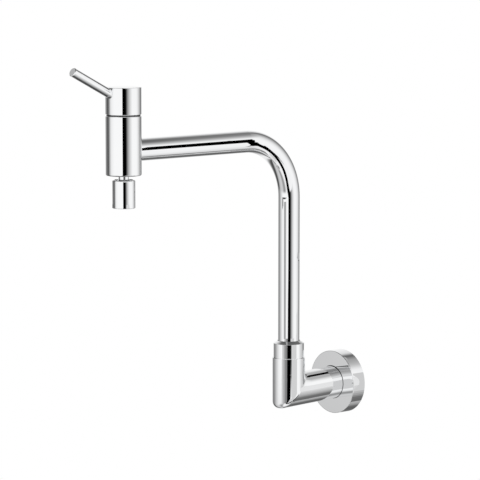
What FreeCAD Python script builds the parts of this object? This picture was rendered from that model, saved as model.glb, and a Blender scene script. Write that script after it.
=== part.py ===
import FreeCAD, Part
import math
import os
import Sketcher
from collections import namedtuple

Vector = FreeCAD.Vector

# Wall-mounted kitchen faucet with a swivelling spout, built in millimetres.
# Row frame: the wall is the plane Y = 0 with the room on the -Y side, Z is up, and the
# origin is the middle of the wall flange on the axis of the inlet thread.
# Each line below is one size that can be set by itself: its name, its value and what it is.
SIZES = [
    ("flange_od", 65.0, "wall flange, outside diameter"),
    ("flange_depth", 15.8, "wall flange, front face to wall"),
    ("flange_sheet", 1.2, "wall flange, sheet thickness"),
    ("flange_edge", 0.8, "wall flange, radius of the front edge"),
    ("flange_gap", 0.5, "ring gap between the flange's hole and the arm"),
    ("flange_lip", 5.0, "depth of the collar turned in round the flange's hole"),
    ("wall_gasket_width", 7.0, "foam ring behind the flange, width"),
    ("wall_gasket_thick", 2.0, "foam ring behind the flange, thickness"),
    ("inlet_thread_od", 20.955, "G1/2 inlet thread, outside diameter"),
    ("inlet_bore", 14.0, "inlet nipple, bore"),
    ("inlet_reach", 16.0, "inlet nipple, length beyond the wall face"),
    ("inlet_grip", 13.0, "inlet nipple, length screwed into the arm"),
    ("thread_bevel", 0.8, "inlet nipple, bevel of both ends"),
    ("inlet_relief", 1.5, "inlet nipple, width of the plain groove between its threads"),
    ("inlet_relief_depth", 1.3, "inlet nipple, depth of that groove"),
    ("thread_gap", 0.05, "radial clearance of screwed joints"),
    ("elbow_od", 33.5, "elbow, outside diameter of leg and arm"),
    ("elbow_end_inset", 3.0, "arm's end, distance in front of the wall face"),
    ("elbow_leg_top", 32.6, "elbow, top of the leg above the inlet axis"),
    ("arm_fall", 1.7, "elbow, angle by which the arm falls from the wall to the leg"),
    ("elbow_outer_round", 4.0, "elbow, radius of the outer corner"),
    ("elbow_inner_round", 2.4, "elbow, radius of the inner corner"),
    ("elbow_cut_past", 1.0, "how far the elbow's bores run past its open ends"),
    ("arm_waterway", 14.0, "bore along the arm"),
    ("wall_to_riser", 76.6, "wall face to the axis of the upright tube"),
    ("swivel_bore", 20.0, "elbow, bore that the spout's tailpiece turns in"),
    ("swivel_bore_foot", 1.0, "elbow, floor of that bore above the inlet axis"),
    ("swivel_seat", 16.4, "elbow, floor of the gland above the inlet axis"),
    ("gland_thread_od", 28.6, "gland nut thread, outside diameter"),
    ("running_gap", 0.05, "radial clearance of turning joints"),
    ("face_gap", 0.05, "clearance between faces that slide on each other"),
    ("glide_thick", 1.4, "glide rings, thickness"),
    ("tail_foot_gap", 1.5, "tailpiece's foot above the floor of its bore"),
    ("tail_flange_od", 27.6, "tailpiece, diameter of the thrust flange"),
    ("tail_flange_thick", 2.6, "tailpiece, thickness of the thrust flange"),
    ("tail_cup_od", 24.8, "tailpiece, diameter of the cup round the tube"),
    ("tail_cup_depth", 8.0, "tailpiece, depth of that cup"),
    ("tail_bore", 15.0, "tailpiece, bore"),
    ("ring_section", 1.6, "swivel O-rings, section diameter"),
    ("ring_play", 0.4, "width of an O-ring's groove beyond the ring"),
    ("ring_first", 3.5, "first swivel O-ring above the tailpiece's foot"),
    ("ring_pitch", 4.6, "distance between the two swivel O-rings"),
    ("collar_od", 31.4, "gland nut, diameter of the visible collar"),
    ("collar_height", 17.0, "gland nut, height of the visible collar"),
    ("collar_seam", 0.3, "seam between the collar and the elbow's leg"),
    ("collar_cone", 2.6, "gland nut, height of the cone on top of the collar"),
    ("collar_edge", 0.3, "gland nut, radius of the edge below the cone"),
    ("collar_hole_gap", 0.45, "gap between the collar's hole and the tube"),
    ("collar_neck", 4.0, "gland nut, length of the hole round the tube"),
    ("collar_cup_gap", 0.3, "gap between the nut and the tailpiece's cup"),
    ("tube_od", 22.0, "spout tube, outside diameter"),
    ("tube_wall", 1.0, "spout tube, wall thickness"),
    ("joint_gap", 0.02, "radial gap of soldered and pressed joints"),
    ("spout_height", 256.0, "inlet axis to the axis of the level tube"),
    ("spout_reach", 215.0, "axis of the upright tube to the axis of the valve"),
    ("bend_radius", 59.0, "spout tube, radius of the bend's centre line"),
    ("valve_od", 35.0, "valve body and handle cap, outside diameter"),
    ("valve_below", 23.7, "valve body's foot below the tube's axis"),
    ("valve_above", 33.6, "valve body's top above the tube's axis"),
    ("valve_foot_round", 1.3, "valve body, radius of the lower edge"),
    ("valve_top_bevel", 0.4, "valve body and cap, bevels at the groove"),
    ("tube_socket_depth", 4.9, "valve body, depth of the tube's socket"),
    ("side_port", 17.0, "valve body, bore from the tube into the chamber"),
    ("chamber_bore", 20.0, "valve body, bore of the chamber"),
    ("chamber_floor", 9.0, "chamber's floor below the tube's axis"),
    ("cartridge_thread_od", 21.0, "valve cartridge thread, outside diameter"),
    ("cartridge_thread", 11.0, "valve cartridge thread, length"),
    ("cartridge_seat", 25.0, "seat of the cartridge's hexagon above the tube's axis"),
    ("cartridge_barrel_od", 17.8, "valve cartridge, barrel diameter"),
    ("cartridge_barrel_wall", 1.5, "valve cartridge, barrel wall"),
    ("cartridge_hexagon", 23.0, "valve cartridge, size across the flats"),
    ("cartridge_hexagon_thick", 5.0, "valve cartridge, thickness of the hexagon"),
    ("cartridge_neck_od", 13.0, "valve cartridge, neck above the hexagon"),
    ("cartridge_neck", 5.0, "valve cartridge, length of that neck"),
    ("hexagon_recess", 28.0, "recess in the body's top round the hexagon"),
    ("window_width", 9.0, "valve cartridge, width of the side windows"),
    ("window_height", 6.4, "valve cartridge, height of the side windows"),
    ("outlet_bore", 8.0, "valve body, bore from the chamber down to the stud"),
    ("seat_gasket_thick", 2.4, "rubber seat under the ceramic discs"),
    ("seat_squeeze", 1.2, "how far the rubber seat stands out of the cartridge"),
    ("disc_thick", 3.0, "ceramic discs, thickness"),
    ("disc_gap", 0.02, "film gap between the ceramic discs"),
    ("disc_edge_gap", 0.1, "radial gap round the ceramic discs"),
    ("port_inner", 2.4, "disc ports, inner radius"),
    ("port_outer", 5.8, "disc ports, outer radius"),
    ("port_angle", 64.0, "disc ports, angle of each sector"),
    ("slot_width", 2.6, "moving disc, width of the driving slot"),
    ("slot_depth", 1.3, "moving disc, depth of the driving slot"),
    ("slot_length", 10.0, "spindle, width of the driving tongue"),
    ("slot_play", 0.3, "moving disc, slot beyond each end of the tongue"),
    ("spindle_od", 9.8, "spindle, stem diameter"),
    ("spindle_flange_thick", 2.6, "spindle, thickness of the thrust flange"),
    ("tongue_length", 7.0, "spindle, tongue between the disc and the flange"),
    ("thrust_thick", 1.0, "thrust washer above the spindle's flange"),
    ("stem_ring_section", 1.2, "spindle O-rings, section diameter"),
    ("stem_ring_first", 5.0, "first spindle O-ring above the cartridge's shoulder"),
    ("stem_ring_pitch", 4.0, "distance between the spindle O-rings"),
    ("clip_thick", 0.9, "spindle clip, thickness"),
    ("clip_od", 12.6, "spindle clip, outside diameter"),
    ("clip_depth", 0.9, "spindle clip, depth of its groove"),
    ("square_size", 7.0, "spindle, size of the square end"),
    ("square_length", 11.0, "spindle, length of the square end"),
    ("square_rise", 1.5, "spindle, square's foot above the clip"),
    ("groove_height", 1.4, "shadow groove between the body and the cap"),
    ("groove_depth", 1.1, "shadow groove, depth"),
    ("guide_seat", 1.7, "guide ring, height held in the body"),
    ("guide_gap", 0.2, "gap between the guide ring and the cap"),
    ("cap_height", 26.2, "handle cap, height"),
    ("cap_edge", 0.5, "handle cap, radius of the top edge"),
    ("cap_hollow", 6.5, "handle cap, depth of the hollow inside"),
    ("cap_hollow_od", 29.2, "handle cap, diameter of that hollow"),
    ("cap_socket", 8.0, "handle cap, depth of the square socket past the hollow"),
    ("lever_lift", 26.9, "lever, angle above the horizontal"),
    ("lever_height", 46.7, "lever's axis above the tube's axis, at the valve's axis"),
    ("lever_od", 8.8, "lever, diameter"),
    ("lever_reach", 69.1, "valve's axis to the lever's end, along the lever"),
    ("lever_edge", 0.5, "lever, bevel of the end"),
    ("lever_seat", 16.5, "lever's shoulder from the valve's axis, along the lever"),
    ("lever_shank_od", 6.0, "lever, diameter of the screwed shank"),
    ("lever_shank", 8.0, "lever, length of the screwed shank"),
    ("shank_play", 0.4, "space at both ends of the lever's shank hole"),
    ("grub_od", 4.0, "grub screw, diameter"),
    ("grub_length", 8.0, "grub screw, length"),
    ("grub_height", 4.2, "grub screw's axis above the cap's hollow"),
    ("grub_hexagon", 2.0, "grub screw, key size"),
    ("plug_od", 5.2, "plug over the grub screw, diameter"),
    ("plug_thick", 3.6, "plug over the grub screw, thickness"),
    ("plug_inset", 0.3, "plug's face inside the cap's surface"),
    ("stud_thread_od", 14.0, "ball stud, diameter of the threaded end"),
    ("stud_hole_depth", 10.0, "valve body, depth of the stud's hole"),
    ("stud_recess", 0.3, "stud's shoulder inside the body's lower face"),
    ("stud_washer_thick", 1.5, "sealing washer above the stud"),
    ("stud_neck_od", 10.0, "ball stud, neck diameter"),
    ("stud_bore", 6.0, "ball stud, bore"),
    ("stud_relief", 0.9, "ball stud, height of the undercut below the valve body"),
    ("stud_relief_depth", 0.6, "ball stud, depth of that undercut"),
    ("ball_drop", 11.8, "ball's centre below the valve body"),
    ("ball_od", 17.0, "ball diameter"),
    ("ball_cut", 6.5, "ball's flat foot below its centre"),
    ("slip_ring_wall", 0.9, "slip ring round the ball, thickness"),
    ("slip_ring_top", 5.6, "slip ring's upper rim above the ball's centre"),
    ("slip_ring_foot", 0.3, "slip ring's lower rim below the ball's centre"),
    ("shell_od", 22.4, "aerator shell, outside diameter"),
    ("shell_top", 7.5, "aerator shell's top above the ball's centre"),
    ("shell_foot", 19.7, "aerator shell's foot below the ball's centre"),
    ("shell_round", 1.3, "aerator shell, radius of the top edge"),
    ("shell_bevel", 0.3, "aerator shell, bevel of the lower edge"),
    ("mouth_od", 18.0, "aerator shell, mouth round the ball"),
    ("ball_seat_rim", 3.2, "ball seat's rim below the ball's centre"),
    ("ball_seat_foot", 7.8, "ball seat's foot below the ball's centre"),
    ("seat_bore", 9.0, "ball seat, bore"),
    ("seat_washer_thick", 1.0, "rubber washer under the ball seat"),
    ("follower_thick", 2.6, "threaded ring that loads the ball seat"),
    ("follower_bore", 9.6, "threaded ring, bore"),
    ("spanner_slot", 2.0, "threaded ring, width of the key slots"),
    ("insert_bore", 19.8, "aerator shell, bore for the insert"),
    ("insert_washer_thick", 1.0, "rubber washer above the insert"),
    ("insert_flange_thick", 1.0, "aerator insert, thickness of the flange"),
    ("insert_od", 17.8, "aerator insert, barrel diameter"),
    ("insert_wall", 1.0, "aerator insert, wall"),
    ("insert_inset", 0.5, "aerator insert's foot inside the shell's foot"),
    ("notch_width", 2.4, "outlet ring, width of the key notches"),
    ("notch_depth", 1.2, "outlet ring, depth of the key notches"),
    ("jet_hole", 1.6, "aerator insert, diameter of the jet holes"),
    ("jet_circle", 10.0, "aerator insert, circle of the jet holes"),
    ("jet_count", 8, "aerator insert, number of jet holes"),
    ("screen_thick", 0.4, "wire screens, thickness"),
    ("screen_pitch", 1.1, "distance between the wire screens"),
    ("screen_frame", 1.2, "wire screens, width of the pressed rim"),
    ("grid_thick", 1.8, "honeycomb grid, thickness"),
    ("grid_cell", 2.7, "honeycomb grid, size of a cell across the flats"),
    ("grid_rib", 0.55, "honeycomb grid, rib between the cells"),
]

doc = FreeCAD.newDocument("faucet")


def write_sheet():
    sheet = doc.addObject("Spreadsheet::Sheet", "sizes")
    for row, (alias, size, note) in enumerate(SIZES, start=1):
        sheet.set(f"A{row}", note)
        sheet.set(f"B{row}", str(size))
        sheet.setAlias(f"B{row}", alias)
    doc.recompute()
    return sheet


sheet = write_sheet()
names = [alias for alias, size, note in SIZES]


def on_sheet(formula):
    """A formula in size names, as an expression that reads the sheet's cells."""
    words = []
    word = ""
    for letter in str(formula) + " ":
        if letter.isalnum() or letter in "_.":
            word += letter
            continue
        words.append("sizes." + word if word in names else word)
        words.append(letter)
        word = ""
    return "".join(words).strip()


def value(formula):
    return float(sheet.evalExpression(on_sheet(formula)))


# A corner of an outline: how far across and up it is, and which of the two a size holds. The edge
# that leaves the corner is straight, or an arc round "centre", which turns "left" or "right".
Corner = namedtuple("Corner", "across up hold centre turn", defaults=("both", None, "left"))


def bind(sketch, kind, edge, point, formula):
    """Holds one coordinate of a point in a sketch to a formula."""
    number = sketch.addConstraint(Sketcher.Constraint(kind, edge, point, value(formula)))
    sketch.setExpression(f"Constraints[{number}]", on_sheet(formula))


def bind_corner(sketch, edge, point, corner):
    if corner.hold in ("both", "across"):
        bind(sketch, "DistanceX", edge, point, corner.across)
    if corner.hold in ("both", "up"):
        bind(sketch, "DistanceY", edge, point, corner.up)


def draw_edge(sketch, corner, here, after):
    """Adds the edge that leaves a corner. Returns its number and the number of its first point."""
    if corner.centre is None:
        return sketch.addGeometry(Part.LineSegment(here, after), False), 1
    middle = Vector(value(corner.centre[0]), value(corner.centre[1]), 0)
    first, last = (here, after) if corner.turn == "left" else (after, here)
    angles = [math.atan2(spot.y - middle.y, spot.x - middle.x) for spot in (first, last)]
    circle = Part.Circle(middle, Vector(0, 0, 1), (here - middle).Length)
    edge = sketch.addGeometry(Part.ArcOfCircle(circle, *angles), False)
    bind(sketch, "DistanceX", edge, 3, corner.centre[0])
    bind(sketch, "DistanceY", edge, 3, corner.centre[1])
    return edge, 1 if corner.turn == "left" else 2


def draw(sketch, corners, closed=True):
    """Draws a line of straight edges and arcs, with every size in it bound to the sheet."""
    spots = [Vector(value(corner.across), value(corner.up), 0) for corner in corners]
    legs = len(corners) if closed else len(corners) - 1
    edges = []
    for number in range(legs):
        after = spots[(number + 1) % len(spots)]
        edges.append(draw_edge(sketch, corners[number], spots[number], after))
    for number in range(legs if closed else legs - 1):
        edge, start = edges[number]
        next_edge, next_start = edges[(number + 1) % legs]
        sketch.addConstraint(
            Sketcher.Constraint("Coincident", edge, 3 - start, next_edge, next_start)
        )
    for number, (edge, start) in enumerate(edges):
        bind_corner(sketch, edge, start, corners[number])
    if not closed:
        edge, start = edges[-1]
        bind_corner(sketch, edge, 3 - start, corners[-1])


def draw_circle(sketch, across, up, diameter):
    """Draws a circle whose place and size are bound to the sheet."""
    middle = Vector(value(across), value(up), 0)
    circle = Part.Circle(middle, Vector(0, 0, 1), value(diameter) / 2)
    edge = sketch.addGeometry(circle, False)
    bind(sketch, "DistanceX", edge, 3, across)
    bind(sketch, "DistanceY", edge, 3, up)
    number = sketch.addConstraint(Sketcher.Constraint("Diameter", edge, value(diameter)))
    sketch.setExpression(f"Constraints[{number}]", on_sheet(diameter))


def draw_box(sketch, width, height, up="0"):
    """Draws a rectangle centred on the upright axis, with its middle at one height."""
    left, right = f"-({width}) / 2", f"({width}) / 2"
    foot, top = f"({up}) - ({height}) / 2", f"({up}) + ({height}) / 2"
    draw(sketch, [Corner(left, foot), Corner(right, foot), Corner(right, top), Corner(left, top)])


def draw_hexagon(sketch, across_flats, across="0", up="0"):
    """Draws a hexagon with a flat side on its left and right, centred on one point."""
    reach = f"({across_flats}) / 2 / cos(30)"
    corners = []
    for angle in range(30, 390, 60):
        corners.append(
            Corner(f"{across} + {reach} * cos({angle})", f"{up} + {reach} * sin({angle})")
        )
    draw(sketch, corners)


def new_body(name):
    body = doc.addObject("PartDesign::Body", name)
    body.Label = name
    return body


def own_plane(body, role):
    return [item for item in body.Origin.OriginFeatures if item.Role == role][0]


def sketch_on(body, plane, name, rise="0", lift="0", tilt="0"):
    """A sketch on one of a piece's own planes, moved off it and up along it, then tilted."""
    sketch = body.newObject("Sketcher::SketchObject", f"{body.Name}_{name}")
    sketch.AttachmentSupport = [(own_plane(body, plane), "")]
    sketch.MapMode = "FlatFace"
    turn = FreeCAD.Rotation(Vector(1, 0, 0), value(tilt) or 1)
    sketch.AttachmentOffset = FreeCAD.Placement(Vector(0, 0, 0), turn)
    sketch.setExpression("AttachmentOffset.Base.y", on_sheet(lift))
    sketch.setExpression("AttachmentOffset.Base.z", on_sheet(rise))
    sketch.setExpression("AttachmentOffset.Rotation.Angle", on_sheet(tilt))
    return sketch


def stand(piece, along="0", up="0", tilt=None):
    """Stands a piece at its reference point in the row frame, tilted about the X axis."""
    if tilt:
        turn = FreeCAD.Rotation(Vector(1, 0, 0), value(tilt))
        piece.Placement = FreeCAD.Placement(Vector(0, 0, 0), turn)
        piece.setExpression("Placement.Rotation.Angle", on_sheet(tilt))
    piece.setExpression("Placement.Base.y", on_sheet(along))
    piece.setExpression("Placement.Base.z", on_sheet(up))


def revolve(body, sketch):
    turning = body.newObject("PartDesign::Revolution", body.Name + "_turning")
    turning.Profile = sketch
    turning.ReferenceAxis = (sketch, ["V_Axis"])
    turning.Angle = 360
    doc.recompute()
    return body


def turned(name, corners, plane="XZ_Plane"):
    """A piece turned in a lathe: its half outline, revolved once about its axis."""
    body = new_body(name)
    sketch = sketch_on(body, plane, "outline")
    draw(sketch, corners)
    return revolve(body, sketch)


def ring_corners(bore, outside, foot, top):
    """The outline of a plain ring between two heights."""
    inner, outer = f"({bore}) / 2", f"({outside}) / 2"
    return [Corner(inner, foot), Corner(outer, foot), Corner(outer, top), Corner(inner, top)]


def o_ring(name, outside, section, height, plane="XZ_Plane"):
    """A rubber ring of round section, by its outside diameter and the height of its middle."""
    body = new_body(name)
    sketch = sketch_on(body, plane, "section")
    draw_circle(sketch, f"({outside} - {section}) / 2", height, section)
    return revolve(body, sketch)


def groove_corners(wall, floor, middle, width):
    """The four corners of a groove in an outside wall, from below upwards."""
    foot, top = f"{middle} - ({width}) / 2", f"{middle} + ({width}) / 2"
    return [Corner(wall, foot), Corner(floor, foot), Corner(floor, top), Corner(wall, top)]


def cut(body, sketch, depth, direction, both=False):
    """Cuts a sketch into a piece, straight along one direction of the piece's own frame."""
    before = body.Shape.Volume
    pocket = body.newObject("PartDesign::Pocket", sketch.Name + "_cut")
    pocket.Profile = sketch
    pocket.Type = 0
    pocket.setExpression("Length", on_sheet(depth))
    pocket.Midplane = both
    facing = sketch.Placement.Rotation.multVec(Vector(0, 0, 1))
    pocket.Reversed = facing.dot(direction) > 0
    doc.recompute()
    if pocket.Shape.Volume > before - 0.001:
        raise RuntimeError(f"{pocket.Name} removes nothing")
    return pocket


def add(body, sketch, height):
    """Adds a sketch drawn level, raised straight up."""
    before = body.Shape.Volume
    pad = body.newObject("PartDesign::Pad", sketch.Name + "_raised")
    pad.Profile = sketch
    pad.Type = 0
    pad.setExpression("Length", on_sheet(height))
    doc.recompute()
    if pad.Shape.Volume < before + 0.001:
        raise RuntimeError(f"{pad.Name} adds nothing")
    return pad


def repeat(body, feature, count):
    """Repeats a cut evenly round the upright axis."""
    pattern = body.newObject("PartDesign::PolarPattern", feature.Name + "_round")
    pattern.Originals = [feature]
    pattern.Axis = (own_plane(body, "Z_Axis"), [""])
    pattern.Angle = 360
    pattern.setExpression("Occurrences", on_sheet(count))
    body.Tip = pattern
    doc.recompute()
    return pattern


def dress_rim(body, kind, diameter, height, size):
    """Rounds or bevels the round edge of a turned piece that has this diameter and height."""
    upright = body.Group[0].AttachmentSupport[0][0].Role == "XZ_Plane"
    found = []
    for number, edge in enumerate(body.Tip.Shape.Edges, start=1):
        curve = edge.Curve
        if not isinstance(curve, Part.Circle):
            continue
        level = curve.Center.z if upright else curve.Center.y
        same_size = abs(curve.Radius - value(diameter) / 2) < 0.001
        if same_size and abs(level - value(height)) < 0.001:
            found.append(f"Edge{number}")
    base = body.Tip
    dressing = body.newObject(kind, f"{body.Name}_edge{len(body.Group)}")
    dressing.Base = (base, found)
    dressing.setExpression("Size" if kind.endswith("Chamfer") else "Radius", on_sheet(size))
    doc.recompute()


def round_rim(body, diameter, height, radius):
    dress_rim(body, "PartDesign::Fillet", diameter, height, radius)


def bevel_rim(body, diameter, height, size):
    dress_rim(body, "PartDesign::Chamfer", diameter, height, size)


UP = Vector(0, 0, 1)
TO_ROOM = Vector(0, -1, 0)
TO_WALL = Vector(0, 1, 0)

# Where the four groups of pieces stand in the row frame.
riser_y = "-wall_to_riser"
valve_y = "-(wall_to_riser + spout_reach)"
cartridge_z = "spout_height - chamber_floor"
ball_z = "spout_height - valve_below - ball_drop"


# Wall end. These pieces are turned about the inlet's axis, so "up" in their outlines is Y:
# zero at the wall and negative into the room.

def inlet_nipple():
    # Brass nipple with a G1/2 thread on both ends, screwed into the arm and the wall fitting.
    foot = "-(elbow_end_inset + inlet_grip)"
    thread = "inlet_thread_od / 2"
    relief = f"{thread} - inlet_relief_depth"
    body = turned(
        "inlet_nipple",
        [
            Corner("inlet_bore / 2", foot),
            Corner(thread, foot),
            Corner(thread, "-elbow_end_inset"),
            Corner(relief, "-elbow_end_inset"),
            Corner(relief, "inlet_relief - elbow_end_inset"),
            Corner(thread, "inlet_relief - elbow_end_inset"),
            Corner(thread, "inlet_reach"),
            Corner("inlet_bore / 2", "inlet_reach"),
        ],
        plane="XY_Plane",
    )
    bevel_rim(body, "inlet_thread_od", foot, "thread_bevel")
    bevel_rim(body, "inlet_thread_od", "inlet_reach", "thread_bevel")


arm_hole = "(elbow_od + 2 * flange_gap)"


def escutcheon():
    # Spun dish: a flat polished face, a plain rim back to the wall, and a collar turned in
    # round the hole, which grips the rubber ring on the arm.
    hole = f"{arm_hole} / 2"
    face = "-flange_depth"
    back = "flange_sheet - flange_depth"
    inner = "flange_od / 2 - flange_sheet"
    body = turned(
        "escutcheon",
        [
            Corner(hole, face),
            Corner("flange_od / 2", face),
            Corner("flange_od / 2", "0"),
            Corner(inner, "0"),
            Corner(inner, back),
            Corner(f"{hole} + flange_sheet", back),
            Corner(f"{hole} + flange_sheet", f"{back} + flange_lip"),
            Corner(hole, f"{back} + flange_lip"),
        ],
        plane="XY_Plane",
    )
    round_rim(body, "flange_od", face, "flange_edge")


def wall_gasket():
    # Foam ring inside the flange's rim and flush with it, which seals against the wall.
    outside = "flange_od - 2 * flange_sheet - 2 * joint_gap"
    bore = f"{outside} - 2 * wall_gasket_width"
    turned(
        "wall_gasket", ring_corners(bore, outside, "-wall_gasket_thick", "0"), plane="XY_Plane"
    )


# The rubber ring that holds the flange sits in a groove in the arm, under the turned-in collar.
flange_ring_y = "-(flange_depth - flange_sheet - flange_lip / 2)"
flange_ring_od = f"({arm_hole} - 2 * running_gap)"


def flange_ring():
    o_ring("flange_ring", flange_ring_od, "ring_section", flange_ring_y, plane="XY_Plane")


# Elbow. The arm falls a little from the wall, about the middle of the flange's rubber ring, to
# the upright leg. The skin between the two runs through ellipses in a fan of planes, which pivot
# on the centre of the inner corner's round. Each ellipse spans from that round to the outer
# profile, so the mitre between leg and arm fades from the outer corner to the inner one.
to_pivot = "(elbow_od / 2 + elbow_inner_round)"
pivot_y = f"({riser_y} + {to_pivot})"
pivot_z = f"(({pivot_y} - {flange_ring_y}) * tan(arm_fall) + {to_pivot} / cos(arm_fall))"

FAN_STEPS = 24


def distance_to_outer_profile(off_middle, half, side, outer):
    """From the fan's pivot to the outer profile, along a ray this far off the middle one."""
    if off_middle > half - math.atan2((side - outer) * math.tan(half), side):
        return side / math.cos(half - off_middle)
    to_centre = (side - outer) / math.cos(half)
    beside = to_centre * math.sin(off_middle)
    return to_centre * math.cos(off_middle) + math.sqrt(outer * outer - beside * beside)


def elbow_skin():
    radius = value("elbow_od") / 2
    inner = value("elbow_inner_round")
    side = 2 * radius + inner
    pivot = Vector(0, value(to_pivot), value(pivot_z))
    half = math.radians(90 + value("arm_fall")) / 2
    # The rays lie closer together near the middle, where the outer corner's arc is.
    steps = [step / FAN_STEPS for step in range(-FAN_STEPS, FAN_STEPS + 1)]
    angles = [half * (1 + 0.35 * step + 0.65 * step ** 3) for step in steps]
    # A full circle as a rational curve has nine control points on a square round it.
    square = [(1, 0), (1, 1), (0, 1), (-1, 1), (-1, 0), (-1, -1), (0, -1), (1, -1), (1, 0)]
    rows = []
    weights = []
    for across, along in square:
        points = []
        for angle in angles:
            ray = Vector(0, -math.cos(angle), -math.sin(angle))
            far = distance_to_outer_profile(
                abs(angle - half), half, side, value("elbow_outer_round")
            )
            reach = (far + inner) / 2 + along * (far - inner) / 2
            points.append(pivot + ray * reach + Vector(across * radius, 0, 0))
        curve = Part.BSplineCurve()
        curve.interpolate(Points=points, Parameters=angles)
        rows.append(curve.getPoles())
        weights.append([math.sqrt(0.5) if across and along else 1.0] * curve.NbPoles)
    surface = Part.BSplineSurface()
    surface.buildFromPolesMultsKnots(
        rows, [3, 2, 2, 2, 3], curve.getMultiplicities(), [0, 1, 2, 3, 4], curve.getKnots(),
        False, False, 2, curve.Degree, weights,
    )
    leg_end = Part.Circle(Vector(0, 0, pivot.z), Vector(0, 0, 1), radius)
    last_ray = Vector(0, -math.cos(2 * half), -math.sin(2 * half))
    arm_way = Vector(0, math.sin(2 * half), -math.cos(2 * half))
    arm_end = Part.Circle(pivot + last_ray * (radius + inner), arm_way, radius)
    faces = [surface.toShape()]
    for circle in (leg_end, arm_end):
        faces.append(Part.Face(Part.Wire(circle.toShape())))
    shell = Part.makeShell(faces)
    shell.sewShape()
    skin = doc.addObject("Part::Feature", "elbow_skin")
    skin.Shape = Part.makeSolid(shell)
    stand(skin, riser_y)
    return skin


def rod(name, diameter, length, along="0", up="0", tilt=None):
    """A round bar or drill, which stands upright or is tilted about the X axis."""
    bar = doc.addObject("Part::Cylinder", name)
    bar.setExpression("Radius", on_sheet(f"({diameter}) / 2"))
    bar.setExpression("Height", on_sheet(length))
    stand(bar, along, up, tilt)
    return bar


def joined(name, pieces):
    fusion = doc.addObject("Part::MultiFuse", name)
    fusion.Shapes = pieces
    return fusion


def elbow_body():
    # Cast brass elbow: an arm from the wall mitred into an upright leg, bored for the water, the
    # inlet thread, the swivel and the gland nut, with a groove for the flange's rubber ring.
    leg = rod("elbow_leg", "elbow_od", f"elbow_leg_top - {pivot_z}", riser_y, pivot_z)
    arm_y = f"({pivot_y} + {to_pivot} * sin(arm_fall))"
    arm_z = f"({pivot_z} - {to_pivot} * cos(arm_fall))"
    arm_length = f"(-elbow_end_inset - {arm_y}) / cos(arm_fall)"
    arm = rod("elbow_arm", "elbow_od", arm_length, arm_y, arm_z, "arm_fall - 90")
    solid = joined("elbow_solid", [elbow_skin(), leg, arm])
    groove_y = f"{flange_ring_y} - (ring_section + ring_play) / 2"
    groove_floor = f"{flange_ring_od} - 2 * ring_section - 2 * joint_gap"
    width = "ring_section + ring_play"
    band = rod("elbow_groove_band", "elbow_od + 2", width, groove_y, tilt="-90")
    core = rod("elbow_groove_core", groove_floor, width, groove_y, tilt="-90")
    groove = doc.addObject("Part::Cut", "elbow_groove")
    groove.Base = band
    groove.Tool = core
    past = "elbow_cut_past"
    bores = joined(
        "elbow_bores",
        [
            rod("elbow_gland_bore", "gland_thread_od + 2 * thread_gap",
                f"elbow_leg_top - swivel_seat + {past}", riser_y, "swivel_seat"),
            rod("elbow_swivel_bore", "swivel_bore", f"swivel_seat - swivel_bore_foot + {past}",
                riser_y, "swivel_bore_foot"),
            rod("elbow_waterway", "arm_waterway", "wall_to_riser + arm_waterway / 2",
                f"{riser_y} - arm_waterway / 2", tilt="-90"),
            rod("elbow_inlet_socket", "inlet_thread_od + 2 * thread_gap",
                f"inlet_grip + face_gap + {past}",
                "-(elbow_end_inset + inlet_grip + face_gap)", tilt="-90"),
            groove,
        ],
    )
    body = doc.addObject("Part::Cut", "elbow_body")
    body.Base = solid
    body.Tool = bores
    body.Label = "elbow_body"
    doc.recompute()


# Swivel, from below: lower glide ring, the tailpiece's thrust flange, upper glide ring, gland
# nut. Heights are above the inlet's axis, and the pieces stand on the upright tube's axis.
tail_foot = "(swivel_bore_foot + tail_foot_gap)"
flange_foot = "(swivel_seat + glide_thick + face_gap)"
flange_top = f"({flange_foot} + tail_flange_thick)"
nut_foot = f"({flange_top} + glide_thick + 2 * face_gap)"
tube_foot = f"({flange_top} + 1)"
journal = "(swivel_bore - 2 * running_gap)"
collar_foot = "(elbow_leg_top + collar_seam)"
collar_top = f"({collar_foot} + collar_height)"
tail_ring_heights = [f"{tail_foot} + ring_first", f"{tail_foot} + ring_first + ring_pitch"]


def swivel_tailpiece():
    # Brass tailpiece soldered on the tube's foot: a grooved journal, a thrust flange and a cup.
    wall = f"{journal} / 2"
    floor = f"{journal} / 2 - ring_section - joint_gap"
    corners = [Corner("tail_bore / 2", tail_foot), Corner(wall, tail_foot)]
    for height in tail_ring_heights:
        corners += groove_corners(wall, floor, height, "ring_section + ring_play")
    corners += [
        Corner(wall, flange_foot),
        Corner("tail_flange_od / 2", flange_foot),
        Corner("tail_flange_od / 2", flange_top),
        Corner("tail_cup_od / 2", flange_top),
        Corner("tail_cup_od / 2", f"{flange_top} + tail_cup_depth"),
        Corner("tube_od / 2 + joint_gap", f"{flange_top} + tail_cup_depth"),
        Corner("tube_od / 2 + joint_gap", tube_foot),
        Corner("tail_bore / 2", tube_foot),
    ]
    stand(turned("swivel_tailpiece", corners), riser_y)


def swivel_rings():
    for name, height in zip(("lower_swivel_ring", "upper_swivel_ring"), tail_ring_heights):
        stand(o_ring(name, journal, "ring_section", height), riser_y)


def glide_rings():
    # Plastic rings that take the spout's weight and the pull of the gland nut.
    outside = "gland_thread_od - 2 * joint_gap"
    lower = ring_corners("swivel_bore", outside, "swivel_seat", "swivel_seat + glide_thick")
    stand(turned("lower_glide_ring", lower), riser_y)
    bore = "tail_cup_od + 2 * collar_cup_gap"
    foot = f"{flange_top} + face_gap"
    upper = ring_corners(bore, outside, foot, f"{foot} + glide_thick")
    stand(turned("upper_glide_ring", upper), riser_y)


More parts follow.
